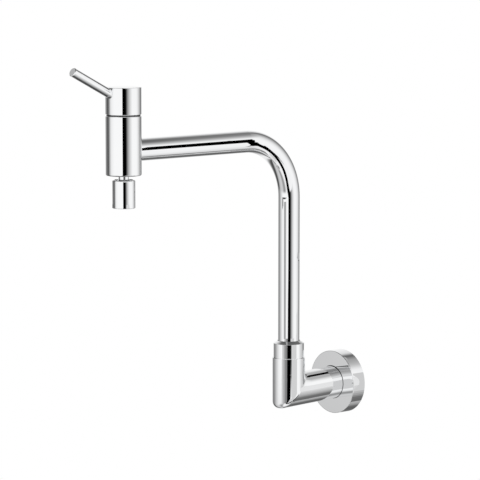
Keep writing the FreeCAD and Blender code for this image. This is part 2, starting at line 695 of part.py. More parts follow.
def gland_nut():
    # Chromed nut that keeps the tailpiece in the leg: a thread below, and above it a plain collar
    # whose top is a cone up to the tube.
    cavity = "tail_cup_od / 2 + collar_cup_gap"
    hole = "tube_od / 2 + collar_hole_gap"
    cone_foot = f"{collar_top} - collar_cone"
    body = turned(
        "gland_nut",
        [
            Corner(cavity, nut_foot),
            Corner("gland_thread_od / 2", nut_foot),
            Corner("gland_thread_od / 2", collar_foot),
            Corner("collar_od / 2", collar_foot),
            Corner("collar_od / 2", cone_foot),
            Corner(hole, collar_top),
            Corner(hole, f"{collar_top} - collar_neck"),
            Corner(cavity, f"{collar_top} - collar_neck"),
        ],
    )
    round_rim(body, "collar_od", cone_foot, "collar_edge")
    stand(body, riser_y)


def spout_tube():
    # Drawn tube with one large bend, from the tailpiece's cup to the socket in the valve body.
    body = new_body("spout_tube")
    path = sketch_on(body, "YZ_Plane", "path")
    bend_start = "spout_height - bend_radius"
    bend_end = "-(wall_to_riser + bend_radius)"
    tube_end = f"{valve_y} + valve_od / 2 - tube_socket_depth"
    draw(
        path,
        [
            Corner(riser_y, tube_foot),
            Corner(riser_y, bend_start, centre=(bend_end, bend_start)),
            Corner(bend_end, "spout_height", hold="across"),
            Corner(tube_end, "spout_height"),
        ],
        closed=False,
    )
    section = sketch_on(body, "XY_Plane", "section", rise=tube_foot)
    draw_circle(section, "0", riser_y, "tube_od")
    draw_circle(section, "0", riser_y, "tube_od - 2 * tube_wall")
    pipe = body.newObject("PartDesign::AdditivePipe", "spout_tube_bent")
    pipe.Profile = section
    pipe.Spine = path
    doc.recompute()


# Valve body and what is fixed in it. Heights are above the level tube's axis, and the pieces
# stand on the valve's axis.
cap_foot = "(valve_above + groove_height)"
cap_top = f"({cap_foot} + cap_height)"
guide_foot = "(valve_above - guide_seat)"
groove_wall = "(valve_od - 2 * groove_depth)"


def valve_body():
    # Turned brass body: the cartridge's chamber, thread and hexagon recess from above, the
    # stud's hole from below, and the tube's socket and port in the side towards the wall.
    thread_foot = "cartridge_seat - cartridge_thread"
    stud_floor = "stud_hole_depth - valve_below"
    steps = [
        ("stud_thread_od / 2 + thread_gap", "-valve_below", stud_floor),
        ("outlet_bore / 2", stud_floor, "-chamber_floor"),
        ("chamber_bore / 2", "-chamber_floor", thread_foot),
        ("cartridge_thread_od / 2 + thread_gap", thread_foot, "cartridge_seat"),
        ("hexagon_recess / 2", "cartridge_seat", guide_foot),
        (f"{groove_wall} / 2 + joint_gap", guide_foot, "valve_above"),
    ]
    corners = []
    for radius, foot, top in steps:
        corners += [Corner(radius, foot), Corner(radius, top)]
    corners += [Corner("valve_od / 2", "valve_above"), Corner("valve_od / 2", "-valve_below")]
    body = turned("valve_body", corners)
    round_rim(body, "valve_od", "-valve_below", "valve_foot_round")
    bevel_rim(body, "valve_od", "valve_above", "valve_top_bevel")
    socket_floor = "(valve_od / 2 - tube_socket_depth)"
    socket = sketch_on(body, "XZ_Plane", "tube_socket", rise=f"-{socket_floor}")
    draw_circle(socket, "0", "0", "tube_od + 2 * joint_gap")
    cut(body, socket, "tube_socket_depth", TO_WALL)
    port = sketch_on(body, "XZ_Plane", "side_port")
    draw_circle(port, "0", "0", "side_port")
    cut(body, port, f"{socket_floor} + joint_gap", TO_WALL)
    stand(body, valve_y, "spout_height")


def guide_ring():
    # Plastic ring in the body's top that guides the cap, seen as the floor of the groove.
    body = turned(
        "guide_ring",
        ring_corners("cap_hollow_od", groove_wall, guide_foot, f"{cap_foot} - guide_gap"),
    )
    stand(body, valve_y, "spout_height")


# Quarter-turn cartridge with two ceramic discs. Heights are above the floor of the chamber.
fixed_disc_foot = "seat_gasket_thick"
moving_disc_foot = f"({fixed_disc_foot} + disc_thick + disc_gap)"
disc_top = f"({moving_disc_foot} + disc_thick)"
thrust_foot = f"({disc_top} + tongue_length)"
thrust_top = f"({thrust_foot} + spindle_flange_thick)"
shoulder = f"({thrust_top} + thrust_thick + 2 * face_gap)"
hexagon_foot = "(chamber_floor + cartridge_seat)"
neck_foot = f"({hexagon_foot} + cartridge_hexagon_thick)"
neck_top = f"({neck_foot} + cartridge_neck)"
clip_foot = f"({neck_top} + face_gap)"
square_foot = f"({clip_foot} + clip_thick + square_rise)"
barrel_bore = "(cartridge_barrel_od - 2 * cartridge_barrel_wall)"
disc_od = f"({barrel_bore} - 2 * disc_edge_gap)"
stem_ring_heights = [
    f"{shoulder} + stem_ring_first", f"{shoulder} + stem_ring_first + stem_ring_pitch",
]


def cartridge_body():
    # Brass cartridge: a slotted barrel round the discs, a thread, a hexagon and a neck.
    corner_reach = "cartridge_hexagon / 2 / cos(30)"
    stem_bore = "spindle_od / 2 + running_gap"
    barrel_foot = "seat_gasket_thick - seat_squeeze"
    thread_foot = f"{hexagon_foot} - cartridge_thread"
    body = turned(
        "cartridge_body",
        [
            Corner(f"{barrel_bore} / 2", barrel_foot),
            Corner("cartridge_barrel_od / 2", barrel_foot),
            Corner("cartridge_barrel_od / 2", thread_foot),
            Corner("cartridge_thread_od / 2", thread_foot),
            Corner("cartridge_thread_od / 2", hexagon_foot),
            Corner(corner_reach, hexagon_foot),
            Corner(corner_reach, neck_foot),
            Corner("cartridge_neck_od / 2", neck_foot),
            Corner("cartridge_neck_od / 2", neck_top),
            Corner(stem_bore, neck_top),
            Corner(stem_bore, shoulder),
            Corner(f"{barrel_bore} / 2", shoulder),
        ],
    )
    flats = sketch_on(body, "XY_Plane", "flats", rise=hexagon_foot)
    draw_hexagon(flats, "cartridge_hexagon")
    draw_circle(flats, "0", "0", "cartridge_hexagon * 2")
    cut(body, flats, "cartridge_hexagon_thick", UP)
    window = sketch_on(body, "XZ_Plane", "window")
    draw_box(window, "window_width", "window_height", f"{disc_top} + tongue_length / 2")
    cut(body, window, "cartridge_barrel_od * 2", TO_ROOM, both=True)
    stand(body, valve_y, cartridge_z)


def seat_gasket():
    # Rubber seat that presses the discs together and seals on the chamber's floor.
    body = turned("seat_gasket", ring_corners("outlet_bore", disc_od, "0", "seat_gasket_thick"))
    stand(body, valve_y, cartridge_z)


def ceramic_disc(name, foot, port_direction):
    """A lapped ceramic disc with two ports, which lie across or along the faucet."""
    body = turned(
        name,
        [
            Corner("0", foot),
            Corner(f"{disc_od} / 2", foot),
            Corner(f"{disc_od} / 2", f"{foot} + disc_thick"),
            Corner("0", f"{foot} + disc_thick"),
        ],
    )
    port = sketch_on(body, "XY_Plane", "port", rise=foot)
    first = f"({port_direction} - port_angle / 2)"
    last = f"({port_direction} + port_angle / 2)"
    held = "up" if port_direction == 0 else "across"
    middle = ("0", "0")
    draw(
        port,
        [
            Corner(f"port_inner * cos{first}", f"port_inner * sin{first}", held),
            Corner(f"port_outer * cos{first}", f"port_outer * sin{first}", centre=middle),
            Corner(f"port_outer * cos{last}", f"port_outer * sin{last}", held),
            Corner(f"port_inner * cos{last}", f"port_inner * sin{last}",
                   centre=middle, turn="right"),
        ],
    )
    repeat(body, cut(body, port, "disc_thick", UP), "2")
    return body


def ceramic_discs():
    # Shut at rest: the fixed disc's ports lie across, the moving disc's along the faucet.
    stand(ceramic_disc("fixed_disc", fixed_disc_foot, 0), valve_y, cartridge_z)
    moving = ceramic_disc("moving_disc", moving_disc_foot, 90)
    slot = sketch_on(moving, "XY_Plane", "slot", rise=f"{disc_top} - slot_depth")
    draw_box(slot, "slot_length + 2 * slot_play", "slot_width")
    cut(moving, slot, "slot_depth", UP)
    stand(moving, valve_y, cartridge_z)


def spindle():
    # Brass spindle: a tongue in the moving disc, a thrust flange, a grooved stem, a square end.
    stem = "spindle_od / 2"
    floor = "spindle_od / 2 - stem_ring_section - joint_gap"
    corners = [
        Corner("0", thrust_foot),
        Corner(f"{disc_od} / 2", thrust_foot),
        Corner(f"{disc_od} / 2", thrust_top),
        Corner(stem, thrust_top),
    ]
    for height in stem_ring_heights:
        corners += groove_corners(stem, floor, height, "stem_ring_section + ring_play")
    clip_middle = f"({clip_foot} + clip_thick / 2)"
    corners += groove_corners(stem, f"{stem} - clip_depth", clip_middle, "clip_thick")
    corners += [Corner(stem, square_foot), Corner("0", square_foot)]
    body = turned("spindle", corners)
    square = sketch_on(body, "XY_Plane", "square", rise=square_foot)
    draw_box(square, "square_size", "square_size")
    add(body, square, "square_length")
    tongue_foot = f"{disc_top} - slot_depth + disc_gap"
    tongue = sketch_on(body, "XY_Plane", "tongue", rise=tongue_foot)
    draw_box(tongue, "slot_length", "slot_width - 2 * running_gap")
    add(body, tongue, f"{thrust_foot} - ({tongue_foot})")
    stand(body, valve_y, cartridge_z)


def spindle_trim():
    # The washer, the two rubber rings and the clip that sit on the spindle.
    washer = ring_corners("spindle_od + 2 * running_gap", disc_od,
                          f"{thrust_top} + face_gap", f"{thrust_top} + face_gap + thrust_thick")
    stand(turned("thrust_washer", washer), valve_y, cartridge_z)
    for name, height in zip(("lower_stem_ring", "upper_stem_ring"), stem_ring_heights):
        stand(o_ring(name, "spindle_od", "stem_ring_section", height), valve_y, cartridge_z)
    clip = ring_corners("spindle_od - 2 * clip_depth + 2 * joint_gap", "clip_od",
                        clip_foot, f"{clip_foot} + clip_thick")
    stand(turned("spindle_clip", clip), valve_y, cartridge_z)


# Handle. Heights are above the level tube's axis again, and the lever's axis crosses the valve's
# axis, rising into the room.

def handle_cap():
    # Die-cast cap: a hollow below for the cartridge's neck, a square socket for the spindle, a
    # slanted seat for the lever in front and the grub screw's hole behind.
    hollow_top = f"({cap_foot} + cap_hollow)"
    body = turned(
        "handle_cap",
        [
            Corner("0", hollow_top),
            Corner("cap_hollow_od / 2", hollow_top),
            Corner("cap_hollow_od / 2", cap_foot),
            Corner("valve_od / 2", cap_foot),
            Corner("valve_od / 2", cap_top),
            Corner("0", cap_top),
        ],
    )
    round_rim(body, "valve_od", cap_top, "cap_edge")
    bevel_rim(body, "valve_od", cap_foot, "valve_top_bevel")
    socket = sketch_on(body, "XY_Plane", "socket", rise=hollow_top)
    draw_box(socket, "square_size + 2 * running_gap", "square_size + 2 * running_gap")
    cut(body, socket, "cap_socket", UP)
    along_lever = [
        ("lever_seat", "lever_seat", "lever_od + 2 * running_gap", "valve_od / 2"),
        ("lever_shank_hole", "(lever_seat - lever_shank - shank_play)",
         "lever_shank_od + 2 * thread_gap", "lever_shank + 2 * shank_play"),
    ]
    for name, reach, diameter, depth in along_lever:
        hole = sketch_on(body, "XZ_Plane", name, rise=f"{reach} * cos(lever_lift)",
                         lift=f"lever_height + {reach} * sin(lever_lift)", tilt="-lever_lift")
        draw_circle(hole, "0", "0", diameter)
        cut(body, hole, depth, TO_ROOM)
    grub_z = f"{hollow_top} + grub_height"
    grub = sketch_on(body, "XZ_Plane", "grub_hole")
    draw_circle(grub, "0", grub_z, "grub_od + 2 * thread_gap")
    cut(body, grub, "valve_od / 2", TO_WALL)
    plug_floor = "valve_od / 2 - plug_inset - plug_thick"
    plug = sketch_on(body, "XZ_Plane", "plug_hole", rise=f"-({plug_floor})")
    draw_circle(plug, "0", grub_z, "plug_od + 2 * joint_gap")
    cut(body, plug, "plug_thick + plug_inset", TO_WALL)
    stand(body, valve_y, "spout_height")


def lever_rod():
    # Straight polished rod with a bevelled end and a shank screwed into the cap.
    shank_foot = "lever_seat - lever_shank"
    body = turned(
        "lever_rod",
        [
            Corner("0", shank_foot),
            Corner("lever_shank_od / 2", shank_foot),
            Corner("lever_shank_od / 2", "lever_seat"),
            Corner("lever_od / 2", "lever_seat"),
            Corner("lever_od / 2", "lever_reach"),
            Corner("0", "lever_reach"),
        ],
    )
    bevel_rim(body, "lever_od", "lever_reach", "lever_edge")
    stand(body, valve_y, "spout_height + lever_height", "90 - lever_lift")


def grub_screw_and_plug():
    # The grub screw bears on the spindle's square, and the plug hides it at the cap's back.
    grub_z = f"spout_height + {cap_foot} + cap_hollow + grub_height"
    foot = "(square_size / 2 + joint_gap)"
    screw = turned(
        "grub_screw",
        [
            Corner("0", foot),
            Corner("grub_od / 2", foot),
            Corner("grub_od / 2", f"{foot} + grub_length"),
            Corner("0", f"{foot} + grub_length"),
        ],
    )
    key = sketch_on(screw, "XY_Plane", "key", rise=f"{foot} + grub_length - grub_hexagon")
    draw_hexagon(key, "grub_hexagon")
    cut(screw, key, "grub_hexagon", UP)
    stand(screw, valve_y, grub_z, "-90")
    top = "(valve_od / 2 - plug_inset)"
    plug = turned(
        "screw_plug",
        [
            Corner("0", f"{top} - plug_thick"),
            Corner("plug_od / 2", f"{top} - plug_thick"),
            Corner("plug_od / 2", top),
            Corner("0", top),
        ],
    )
    stand(plug, valve_y, grub_z, "-90")


# Ball joint and aerator. Heights are above the centre of the ball.
ball_middle = ("0", "0")
stud_shoulder = "(ball_drop + stud_recess)"
stud_top = "(ball_drop + stud_hole_depth - stud_washer_thick)"
slip_bore = "(ball_od + 2 * running_gap)"
slip_outside = f"({slip_bore} + 2 * slip_ring_wall)"
socket_od = f"({slip_outside} + 2 * running_gap)"


def beside(diameter, height):
    """How far from the axis a sphere round the ball's centre is at one height."""
    return f"sqrt(({diameter}) * ({diameter}) / 4 - ({height}) * ({height}))"


def ball_stud():
    # Chromed stud screwed up into the valve body, with a bored ball on a short neck that is
    # undercut below the body.
    neck = "stud_neck_od / 2"
    undercut = f"{neck} - stud_relief_depth"
    body = turned(
        "ball_stud",
        [
            Corner("stud_bore / 2", "-ball_cut"),
            Corner(beside("ball_od", "ball_cut"), "-ball_cut", centre=ball_middle),
            Corner(neck, beside("ball_od", neck), "across"),
            Corner(neck, "ball_drop - stud_relief"),
            Corner(undercut, "ball_drop - stud_relief"),
            Corner(undercut, stud_shoulder),
            Corner("stud_thread_od / 2", stud_shoulder),
            Corner("stud_thread_od / 2", stud_top),
            Corner("stud_bore / 2", stud_top),
        ],
    )
    stand(body, valve_y, ball_z)


def stud_washer():
    washer = ring_corners("outlet_bore", "stud_thread_od - 4 * face_gap",
                          stud_top, f"{stud_top} + stud_washer_thick")
    stand(turned("stud_washer", washer), valve_y, ball_z)


def slip_ring():
    # Dark plastic zone of a sphere between the ball and the shell, which turns with the shell.
    body = turned(
        "slip_ring",
        [
            Corner(beside(slip_bore, "slip_ring_foot"), "-slip_ring_foot"),
            Corner(beside(slip_outside, "slip_ring_foot"), "-slip_ring_foot",
                   centre=ball_middle),
            Corner(beside(slip_outside, "slip_ring_top"), "slip_ring_top", "up"),
            Corner(beside(slip_bore, "slip_ring_top"), "slip_ring_top", "up",
                   centre=ball_middle, turn="right"),
        ],
    )
    stand(body, valve_y, ball_z)


follower_foot = "(ball_seat_foot + seat_washer_thick + follower_thick)"
insert_top = f"({follower_foot} + insert_washer_thick)"
insert_foot = "(shell_foot - insert_inset)"
screen_od = "(insert_od - 2 * insert_wall - 2 * running_gap)"


def aerator_shell():
    # Chromed barrel whose mouth holds the slip ring and the ball, bored from below in steps.
    mouth = "mouth_od / 2"
    body = turned(
        "aerator_shell",
        [
            Corner("shell_od / 2", "-shell_foot"),
            Corner("shell_od / 2", "shell_top"),
            Corner(mouth, "shell_top"),
            Corner(mouth, beside(socket_od, mouth), centre=ball_middle, turn="right"),
            Corner(f"{socket_od} / 2", "0", "up"),
            Corner(f"{socket_od} / 2", f"-{follower_foot}"),
            Corner("insert_bore / 2", f"-{follower_foot}"),
            Corner("insert_bore / 2", "-shell_foot"),
        ],
    )
    round_rim(body, "shell_od", "shell_top", "shell_round")
    bevel_rim(body, "shell_od", "-shell_foot", "shell_bevel")
    stand(body, valve_y, ball_z)


def ball_seat():
    # White low-friction cup under the ball.
    outside = f"{socket_od} / 2 - face_gap"
    body = turned(
        "ball_seat",
        [
            Corner(outside, "-ball_seat_foot"),
            Corner(outside, "-ball_seat_rim"),
            Corner(beside(slip_bore, "ball_seat_rim"), "-ball_seat_rim",
                   centre=ball_middle, turn="right"),
            Corner("seat_bore / 2", f"-{beside(slip_bore, 'seat_bore / 2')}", "across"),
            Corner("seat_bore / 2", "-ball_seat_foot"),
        ],
    )
    stand(body, valve_y, ball_z)


def seat_stack():
    # The rubber washer and the threaded ring that load the ball seat.
    top = "-ball_seat_foot"
    foot = f"{top} - seat_washer_thick"
    washer = ring_corners("seat_bore", f"{socket_od} - 2 * face_gap", foot, top)
    stand(turned("seat_washer", washer), valve_y, ball_z)
    ring = turned(
        "seat_follower",
        ring_corners("follower_bore", f"{socket_od} - 2 * thread_gap", f"-{follower_foot}", foot),
    )
    slot = sketch_on(ring, "XY_Plane", "key_slot", rise=f"-{follower_foot}")
    draw_box(slot, f"{socket_od} + 2", "spanner_slot")
    cut(ring, slot, "follower_thick / 2", UP)
    stand(ring, valve_y, ball_z)


def insert_washer():
    washer = ring_corners("follower_bore", "insert_bore - 2 * face_gap",
                          f"-{insert_top}", f"-{follower_foot}")
    stand(turned("insert_washer", washer), valve_y, ball_z)


def aerator_insert():
    # Plastic insert: a flanged cup whose roof has a ring of jet holes.
    flange = f"-({insert_top} + insert_flange_thick)"
    inner = "insert_od / 2 - insert_wall"
    body = turned(
        "aerator_insert",
        [
            Corner("0", flange),
            Corner(inner, flange),
            Corner(inner, f"-{insert_foot}"),
            Corner("insert_od / 2", f"-{insert_foot}"),
            Corner("insert_od / 2", flange),
            Corner("insert_bore / 2 - face_gap", flange),
            Corner("insert_bore / 2 - face_gap", f"-{insert_top}"),
            Corner("0", f"-{insert_top}"),
        ],
    )
    jet = sketch_on(body, "XY_Plane", "jet", rise=flange)
    draw_circle(jet, "jet_circle / 2", "0", "jet_hole")
    repeat(body, cut(body, jet, "insert_flange_thick", UP), "jet_count")
    stand(body, valve_y, ball_z)


def screens():
    # Two pressed screens of fine wire mesh, each a thin floor in a raised rim, stacked rim on rim.
    roof = f"{insert_top} + insert_flange_thick"
    for number, name in enumerate(("upper_screen", "lower_screen"), start=1):
        foot = f"-({roof} + {number} * screen_pitch)"
        rim = f"{screen_od} / 2 - screen_frame"
        body = turned(
            name,
            [
                Corner("0", foot),
                Corner(f"{screen_od} / 2", foot),
                Corner(f"{screen_od} / 2", f"{foot} + screen_pitch"),
                Corner(rim, f"{foot} + screen_pitch"),
                Corner(rim, f"{foot} + screen_thick"),
                Corner("0", f"{foot} + screen_thick"),
            ],
        )
        stand(body, valve_y, ball_z)


def stream_grid():
    # Honeycomb grid that straightens the stream: one cell in the middle and two rings of cells.
    top = f"-({insert_top} + insert_flange_thick + 2 * screen_pitch)"
    foot = f"({top} - grid_thick)"
    body = turned(
        "stream_grid",
        [
            Corner("0", foot),
            Corner(f"{screen_od} / 2", foot),
            Corner(f"{screen_od} / 2", top),
            Corner("0", top),
        ],
    )
    pitch = "(grid_cell + grid_rib)"
    for number, reach in enumerate(("0", pitch, f"2 * {pitch}")):
        cell = sketch_on(body, "XY_Plane", f"cell{number}", rise=foot)
        draw_hexagon(cell, "grid_cell", reach)
        hole = cut(body, cell, "grid_thick", UP)
        if number:
            repeat(body, hole, "6")
    between = sketch_on(body, "XY_Plane", "cell_between", rise=foot)
    draw_hexagon(between, "grid_cell", f"1.5 * {pitch}", f"{pitch} * cos(30)")
    repeat(body, cut(body, between, "grid_thick", UP), "6")
    stand(body, valve_y, ball_z)


def outlet_ring():
    # Chromed ring screwed into the shell's foot, which holds the insert. A key turns it by the
    # four notches in its foot.
    foot = "-shell_foot + shell_bevel"
    top = f"-({insert_top} + insert_flange_thick)"
    ring = ring_corners("insert_od + 2 * face_gap", "insert_bore - 2 * thread_gap", foot, top)
    body = turned("outlet_ring", ring)
    notch = sketch_on(body, "XY_Plane", "notch", rise=foot)
    inner, outer = "insert_od / 2 - 1", "insert_bore / 2 + 1"
    left, right = "-notch_width / 2", "notch_width / 2"
    draw(
        notch,
        [Corner(inner, left), Corner(outer, left), Corner(outer, right), Corner(inner, right)],
    )
    repeat(body, cut(body, notch, "notch_depth", UP), "4")
    stand(body, valve_y, ball_z)


PIECES = [
    inlet_nipple, escutcheon, wall_gasket, flange_ring, elbow_body,
    swivel_tailpiece, swivel_rings, glide_rings, gland_nut, spout_tube,
    valve_body, guide_ring, cartridge_body, seat_gasket, ceramic_discs, spindle, spindle_trim,
    handle_cap, lever_rod, grub_screw_and_plug,
    ball_stud, stud_washer, slip_ring, aerator_shell, ball_seat, seat_stack, insert_washer,
    aerator_insert, screens, stream_grid, outlet_ring,
]

for piece in PIECES:
    piece()
doc.recompute()

for item in doc.Objects:
    if "Invalid" in item.State or "Error" in item.State:
        raise RuntimeError(f"{item.Name} failed: {item.State}")

finished = [item for item in doc.Objects if item.TypeId == "PartDesign::Body"]
finished.append(doc.getObject("elbow_body"))
os.makedirs("parts", exist_ok=True)
for item in finished:
    shape = item.Shape
    if shape.isNull() or not shape.isValid() or len(shape.Solids) != 1:
        raise RuntimeError(f"{item.Label} is not one valid solid")
for item in finished:
    item.Shape.exportStep(f"parts/{item.Label}.step")
    print(f"{item.Label:20} {item.Shape.Volume / 1000:9.3f} cm3")
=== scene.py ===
import itertools
import math

import bpy
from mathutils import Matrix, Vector


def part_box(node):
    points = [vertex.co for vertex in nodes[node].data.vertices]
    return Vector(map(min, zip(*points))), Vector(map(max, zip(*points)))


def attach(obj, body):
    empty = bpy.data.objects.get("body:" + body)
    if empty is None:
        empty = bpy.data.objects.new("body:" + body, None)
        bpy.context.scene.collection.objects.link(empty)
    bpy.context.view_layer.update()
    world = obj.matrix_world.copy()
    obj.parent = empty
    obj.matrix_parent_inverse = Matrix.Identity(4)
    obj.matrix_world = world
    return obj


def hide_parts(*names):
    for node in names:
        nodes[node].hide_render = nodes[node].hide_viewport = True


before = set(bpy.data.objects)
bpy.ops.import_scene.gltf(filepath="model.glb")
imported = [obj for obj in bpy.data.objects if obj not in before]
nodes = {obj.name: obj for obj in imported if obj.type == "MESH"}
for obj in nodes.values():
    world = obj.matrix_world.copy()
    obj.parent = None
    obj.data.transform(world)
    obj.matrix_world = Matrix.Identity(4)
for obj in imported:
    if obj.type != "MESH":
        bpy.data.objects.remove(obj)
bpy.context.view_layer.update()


# Inlet nipple. A short pipe turned from brass bar and threaded G1/2 at both ends. One end is
# screwed into the elbow's arm. The other stands out at the back of the wall flange, for the
# fitting in the wall, and its thread is modelled as the helix that a die cuts.

def start_outline(name, corner):
    """Starts a new piece in edit mode, as a single point that is selected."""
    bpy.ops.object.select_all(action="DESELECT")
    bpy.ops.mesh.primitive_plane_add(size=0.001, location=corner)
    piece = bpy.context.object
    piece.name = name
    piece.data.name = name
    bpy.ops.object.transform_apply(location=True, rotation=True, scale=True)
    bpy.ops.object.mode_set(mode="EDIT")
    bpy.ops.mesh.select_mode(type="VERT")
    bpy.ops.mesh.select_all(action="SELECT")
    bpy.ops.mesh.merge(type="CENTER")
    return piece


def draw_outline(corners):
    """Draws on from the selected point, which is the first corner, through the others."""
    for here, after in zip(corners, corners[1:]):
        step = Vector(after) - Vector(here)
        bpy.ops.mesh.extrude_region_move(TRANSFORM_OT_translate={"value": step})


def merge_coincident_points():
    bpy.ops.mesh.select_all(action="SELECT")
    bpy.ops.mesh.remove_doubles(threshold=0.000004)


def clean_shell(piece):
    """Merges the points that coincide, points the faces outwards and leaves edit mode."""
    merge_coincident_points()
    bpy.ops.mesh.normals_make_consistent(inside=False)
    bpy.ops.object.mode_set(mode="OBJECT")
    bpy.ops.object.select_all(action="DESELECT")
    piece.select_set(True)
    bpy.ops.object.shade_smooth_by_angle(angle=math.radians(35))


def select_open_edges(piece, level):
    """Selects the open edges that lie at one place along Y."""
    bpy.ops.mesh.select_all(action="DESELECT")
    bpy.ops.mesh.select_mode(type="EDGE")
    bpy.ops.mesh.select_non_manifold()
    bpy.ops.object.mode_set(mode="OBJECT")
    points = piece.data.vertices
    for edge in piece.data.edges:
        if any(abs(points[end].co.y - level) > 0.00001 for end in edge.vertices):
            edge.select = False
    bpy.ops.object.mode_set(mode="EDIT")


THREAD_PITCH = 0.001814
THREAD_FOOT, THREAD_TOP = -0.0015, 0.0152
THREAD_TURNS = 11
THREAD_OVERRUN = 0.0001
POINTS_ROUND = 48
# Outline of one tooth, as radius and rise in millimetres.
TOOTH = [(9.33, 0.0), (9.48, 0.2), (10.34, 0.72), (10.45, 0.907), (10.34, 1.094), (9.48, 1.614),
         (9.33, 1.814)]
tooth_start = THREAD_FOOT - THREAD_PITCH - THREAD_OVERRUN
tooth = [(radius / 1000, tooth_start + rise / 1000, 0.0) for radius, rise in TOOTH]
nipple = start_outline("threaded_nipple", tooth[0])
draw_outline(tooth)
bpy.ops.object.mode_set(mode="OBJECT")
winding = nipple.modifiers.new("winding", "SCREW")
winding.axis = "Y"
winding.screw_offset = THREAD_PITCH
winding.iterations = THREAD_TURNS
winding.steps = POINTS_ROUND
winding.render_steps = POINTS_ROUND
bpy.ops.object.modifier_apply(modifier="winding")
bpy.ops.object.mode_set(mode="EDIT")
merge_coincident_points()
for level, side in ((THREAD_FOOT, {"clear_inner": True}), (THREAD_TOP, {"clear_outer": True})):
    bpy.ops.mesh.select_all(action="SELECT")
    bpy.ops.mesh.bisect(plane_co=(0, level, 0), plane_no=(0, 1, 0), threshold=0.000001, **side)
# The plain wall, from the threaded end through the bore to the groove between the threads, as
# radius and place along Y in millimetres.
WALL = [(9.25, 16.0), (7.0, 16.0), (7.0, -16.0), (9.68, -16.0), (10.47, -15.2), (10.47, -3.0),
        (9.18, -3.0), (9.18, -1.9)]
bpy.ops.mesh.select_all(action="DESELECT")
bpy.ops.mesh.primitive_circle_add(
    vertices=POINTS_ROUND, radius=WALL[0][0] / 1000, location=(0, WALL[0][1] / 1000, 0),
    rotation=(math.pi / 2, 0, 0),
)
for (radius, place), (next_radius, next_place) in zip(WALL, WALL[1:]):
    growth = next_radius / radius
    bpy.ops.mesh.extrude_region_move(
        TRANSFORM_OT_translate={"value": (0, (next_place - place) / 1000, 0)}
    )
    bpy.ops.transform.resize(value=(growth, 1, growth), center_override=(0, 0, 0))
for wall_level, thread_level in (
    (WALL[0][1] / 1000, THREAD_TOP), (WALL[-1][1] / 1000, THREAD_FOOT)
):
    select_open_edges(nipple, wall_level)
    wall_edges = [edge.index for edge in nipple.data.edges if edge.select]
    select_open_edges(nipple, thread_level)
    bpy.ops.object.mode_set(mode="OBJECT")
    for index in wall_edges:
        nipple.data.edges[index].select = True
    bpy.ops.object.mode_set(mode="EDIT")
    bpy.ops.mesh.bridge_edge_loops()
clean_shell(nipple)


def new_material(name):
    material = bpy.data.materials.new(name)
    material.use_nodes = True
    return material, material.node_tree, material.node_tree.nodes["Principled BSDF"]


def link(tree, start, start_socket, end, end_socket):
    tree.links.new(start.outputs[start_socket], end.inputs[end_socket])


def own_noise(tree, scale, detail=3.0, stretch=(1.0, 1.0, 1.0)):
    """Noise that is fixed to the piece. Its scale is in cells per metre."""
    place = tree.nodes.new("ShaderNodeTexCoord")
    mapping = tree.nodes.new("ShaderNodeMapping")
    mapping.inputs["Scale"].default_value = stretch
    noise = tree.nodes.new("ShaderNodeTexNoise")
    noise.inputs["Scale"].default_value = scale
    noise.inputs["Detail"].default_value = detail
    link(tree, place, "Object", mapping, "Vector")
    link(tree, mapping, "Vector", noise, "Vector")
    return noise


# Nearly all of a noise lies between these two.
NOISE_LOW, NOISE_HIGH = 0.3, 0.7


def vary(tree, noise, low, high, shader, socket):
    """Lets a noise vary one number of the shader between two limits."""
    limits = tree.nodes.new("ShaderNodeMapRange")
    limits.inputs["From Min"].default_value = NOISE_LOW
    limits.inputs["From Max"].default_value = NOISE_HIGH
    limits.inputs["To Min"].default_value = low
    limits.inputs["To Max"].default_value = high
    link(tree, noise, 0, limits, "Value")
    link(tree, limits, "Result", shader, socket)


def tint(tree, noise, dark, light, shader):
    """Lets a noise vary the base colour between two tones."""
    ramp = tree.nodes.new("ShaderNodeValToRGB")
    ramp.color_ramp.elements[0].position = NOISE_LOW
    ramp.color_ramp.elements[0].color = (*dark, 1.0)
    ramp.color_ramp.elements[1].position = NOISE_HIGH
    ramp.color_ramp.elements[1].color = (*light, 1.0)
    link(tree, noise, 0, ramp, "Fac")
    link(tree, ramp, "Color", shader, "Base Color")


def raise_surface(tree, pattern, depth, shader):
    """Raises the surface by a pattern, up to a depth in metres."""
    bump = tree.nodes.new("ShaderNodeBump")
    bump.inputs["Distance"].default_value = depth
    link(tree, pattern, 0, bump, "Height")
    link(tree, bump, "Normal", shader, "Normal")


def finish(piece, material):
    piece.data.materials.clear()
    piece.data.materials.append(material)


def turned_brass(name, lathe_axis):
    """Machined brass whose tool marks run round the axis that the piece was turned about."""
    material, tree, shader = new_material(name)
    shader.inputs["Metallic"].default_value = 1.0
    tint(tree, own_noise(tree, 140.0), (0.62, 0.41, 0.15), (0.8, 0.58, 0.27), shader)
    marks_per_axis = [4.0, 4.0, 4.0]
    marks_per_axis["XYZ".index(lathe_axis)] = 260.0
    tool_marks = own_noise(tree, 12.0, 2.0, marks_per_axis)
    vary(tree, tool_marks, 0.2, 0.34, shader, "Roughness")
    raise_surface(tree, tool_marks, 0.000012, shader)
    return material


nipple_brass = turned_brass("brass_turned_across", "Y")
finish(nipple, nipple_brass)
finish(nodes["inlet_nipple"], nipple_brass)
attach(nipple, "wall_body")
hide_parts("inlet_nipple")


# Elbow. A brass casting with the arm from the wall mitred into the upright leg, machined inside,
# then ground, buffed and chromed. Buffing a casting leaves it very slightly wavy.

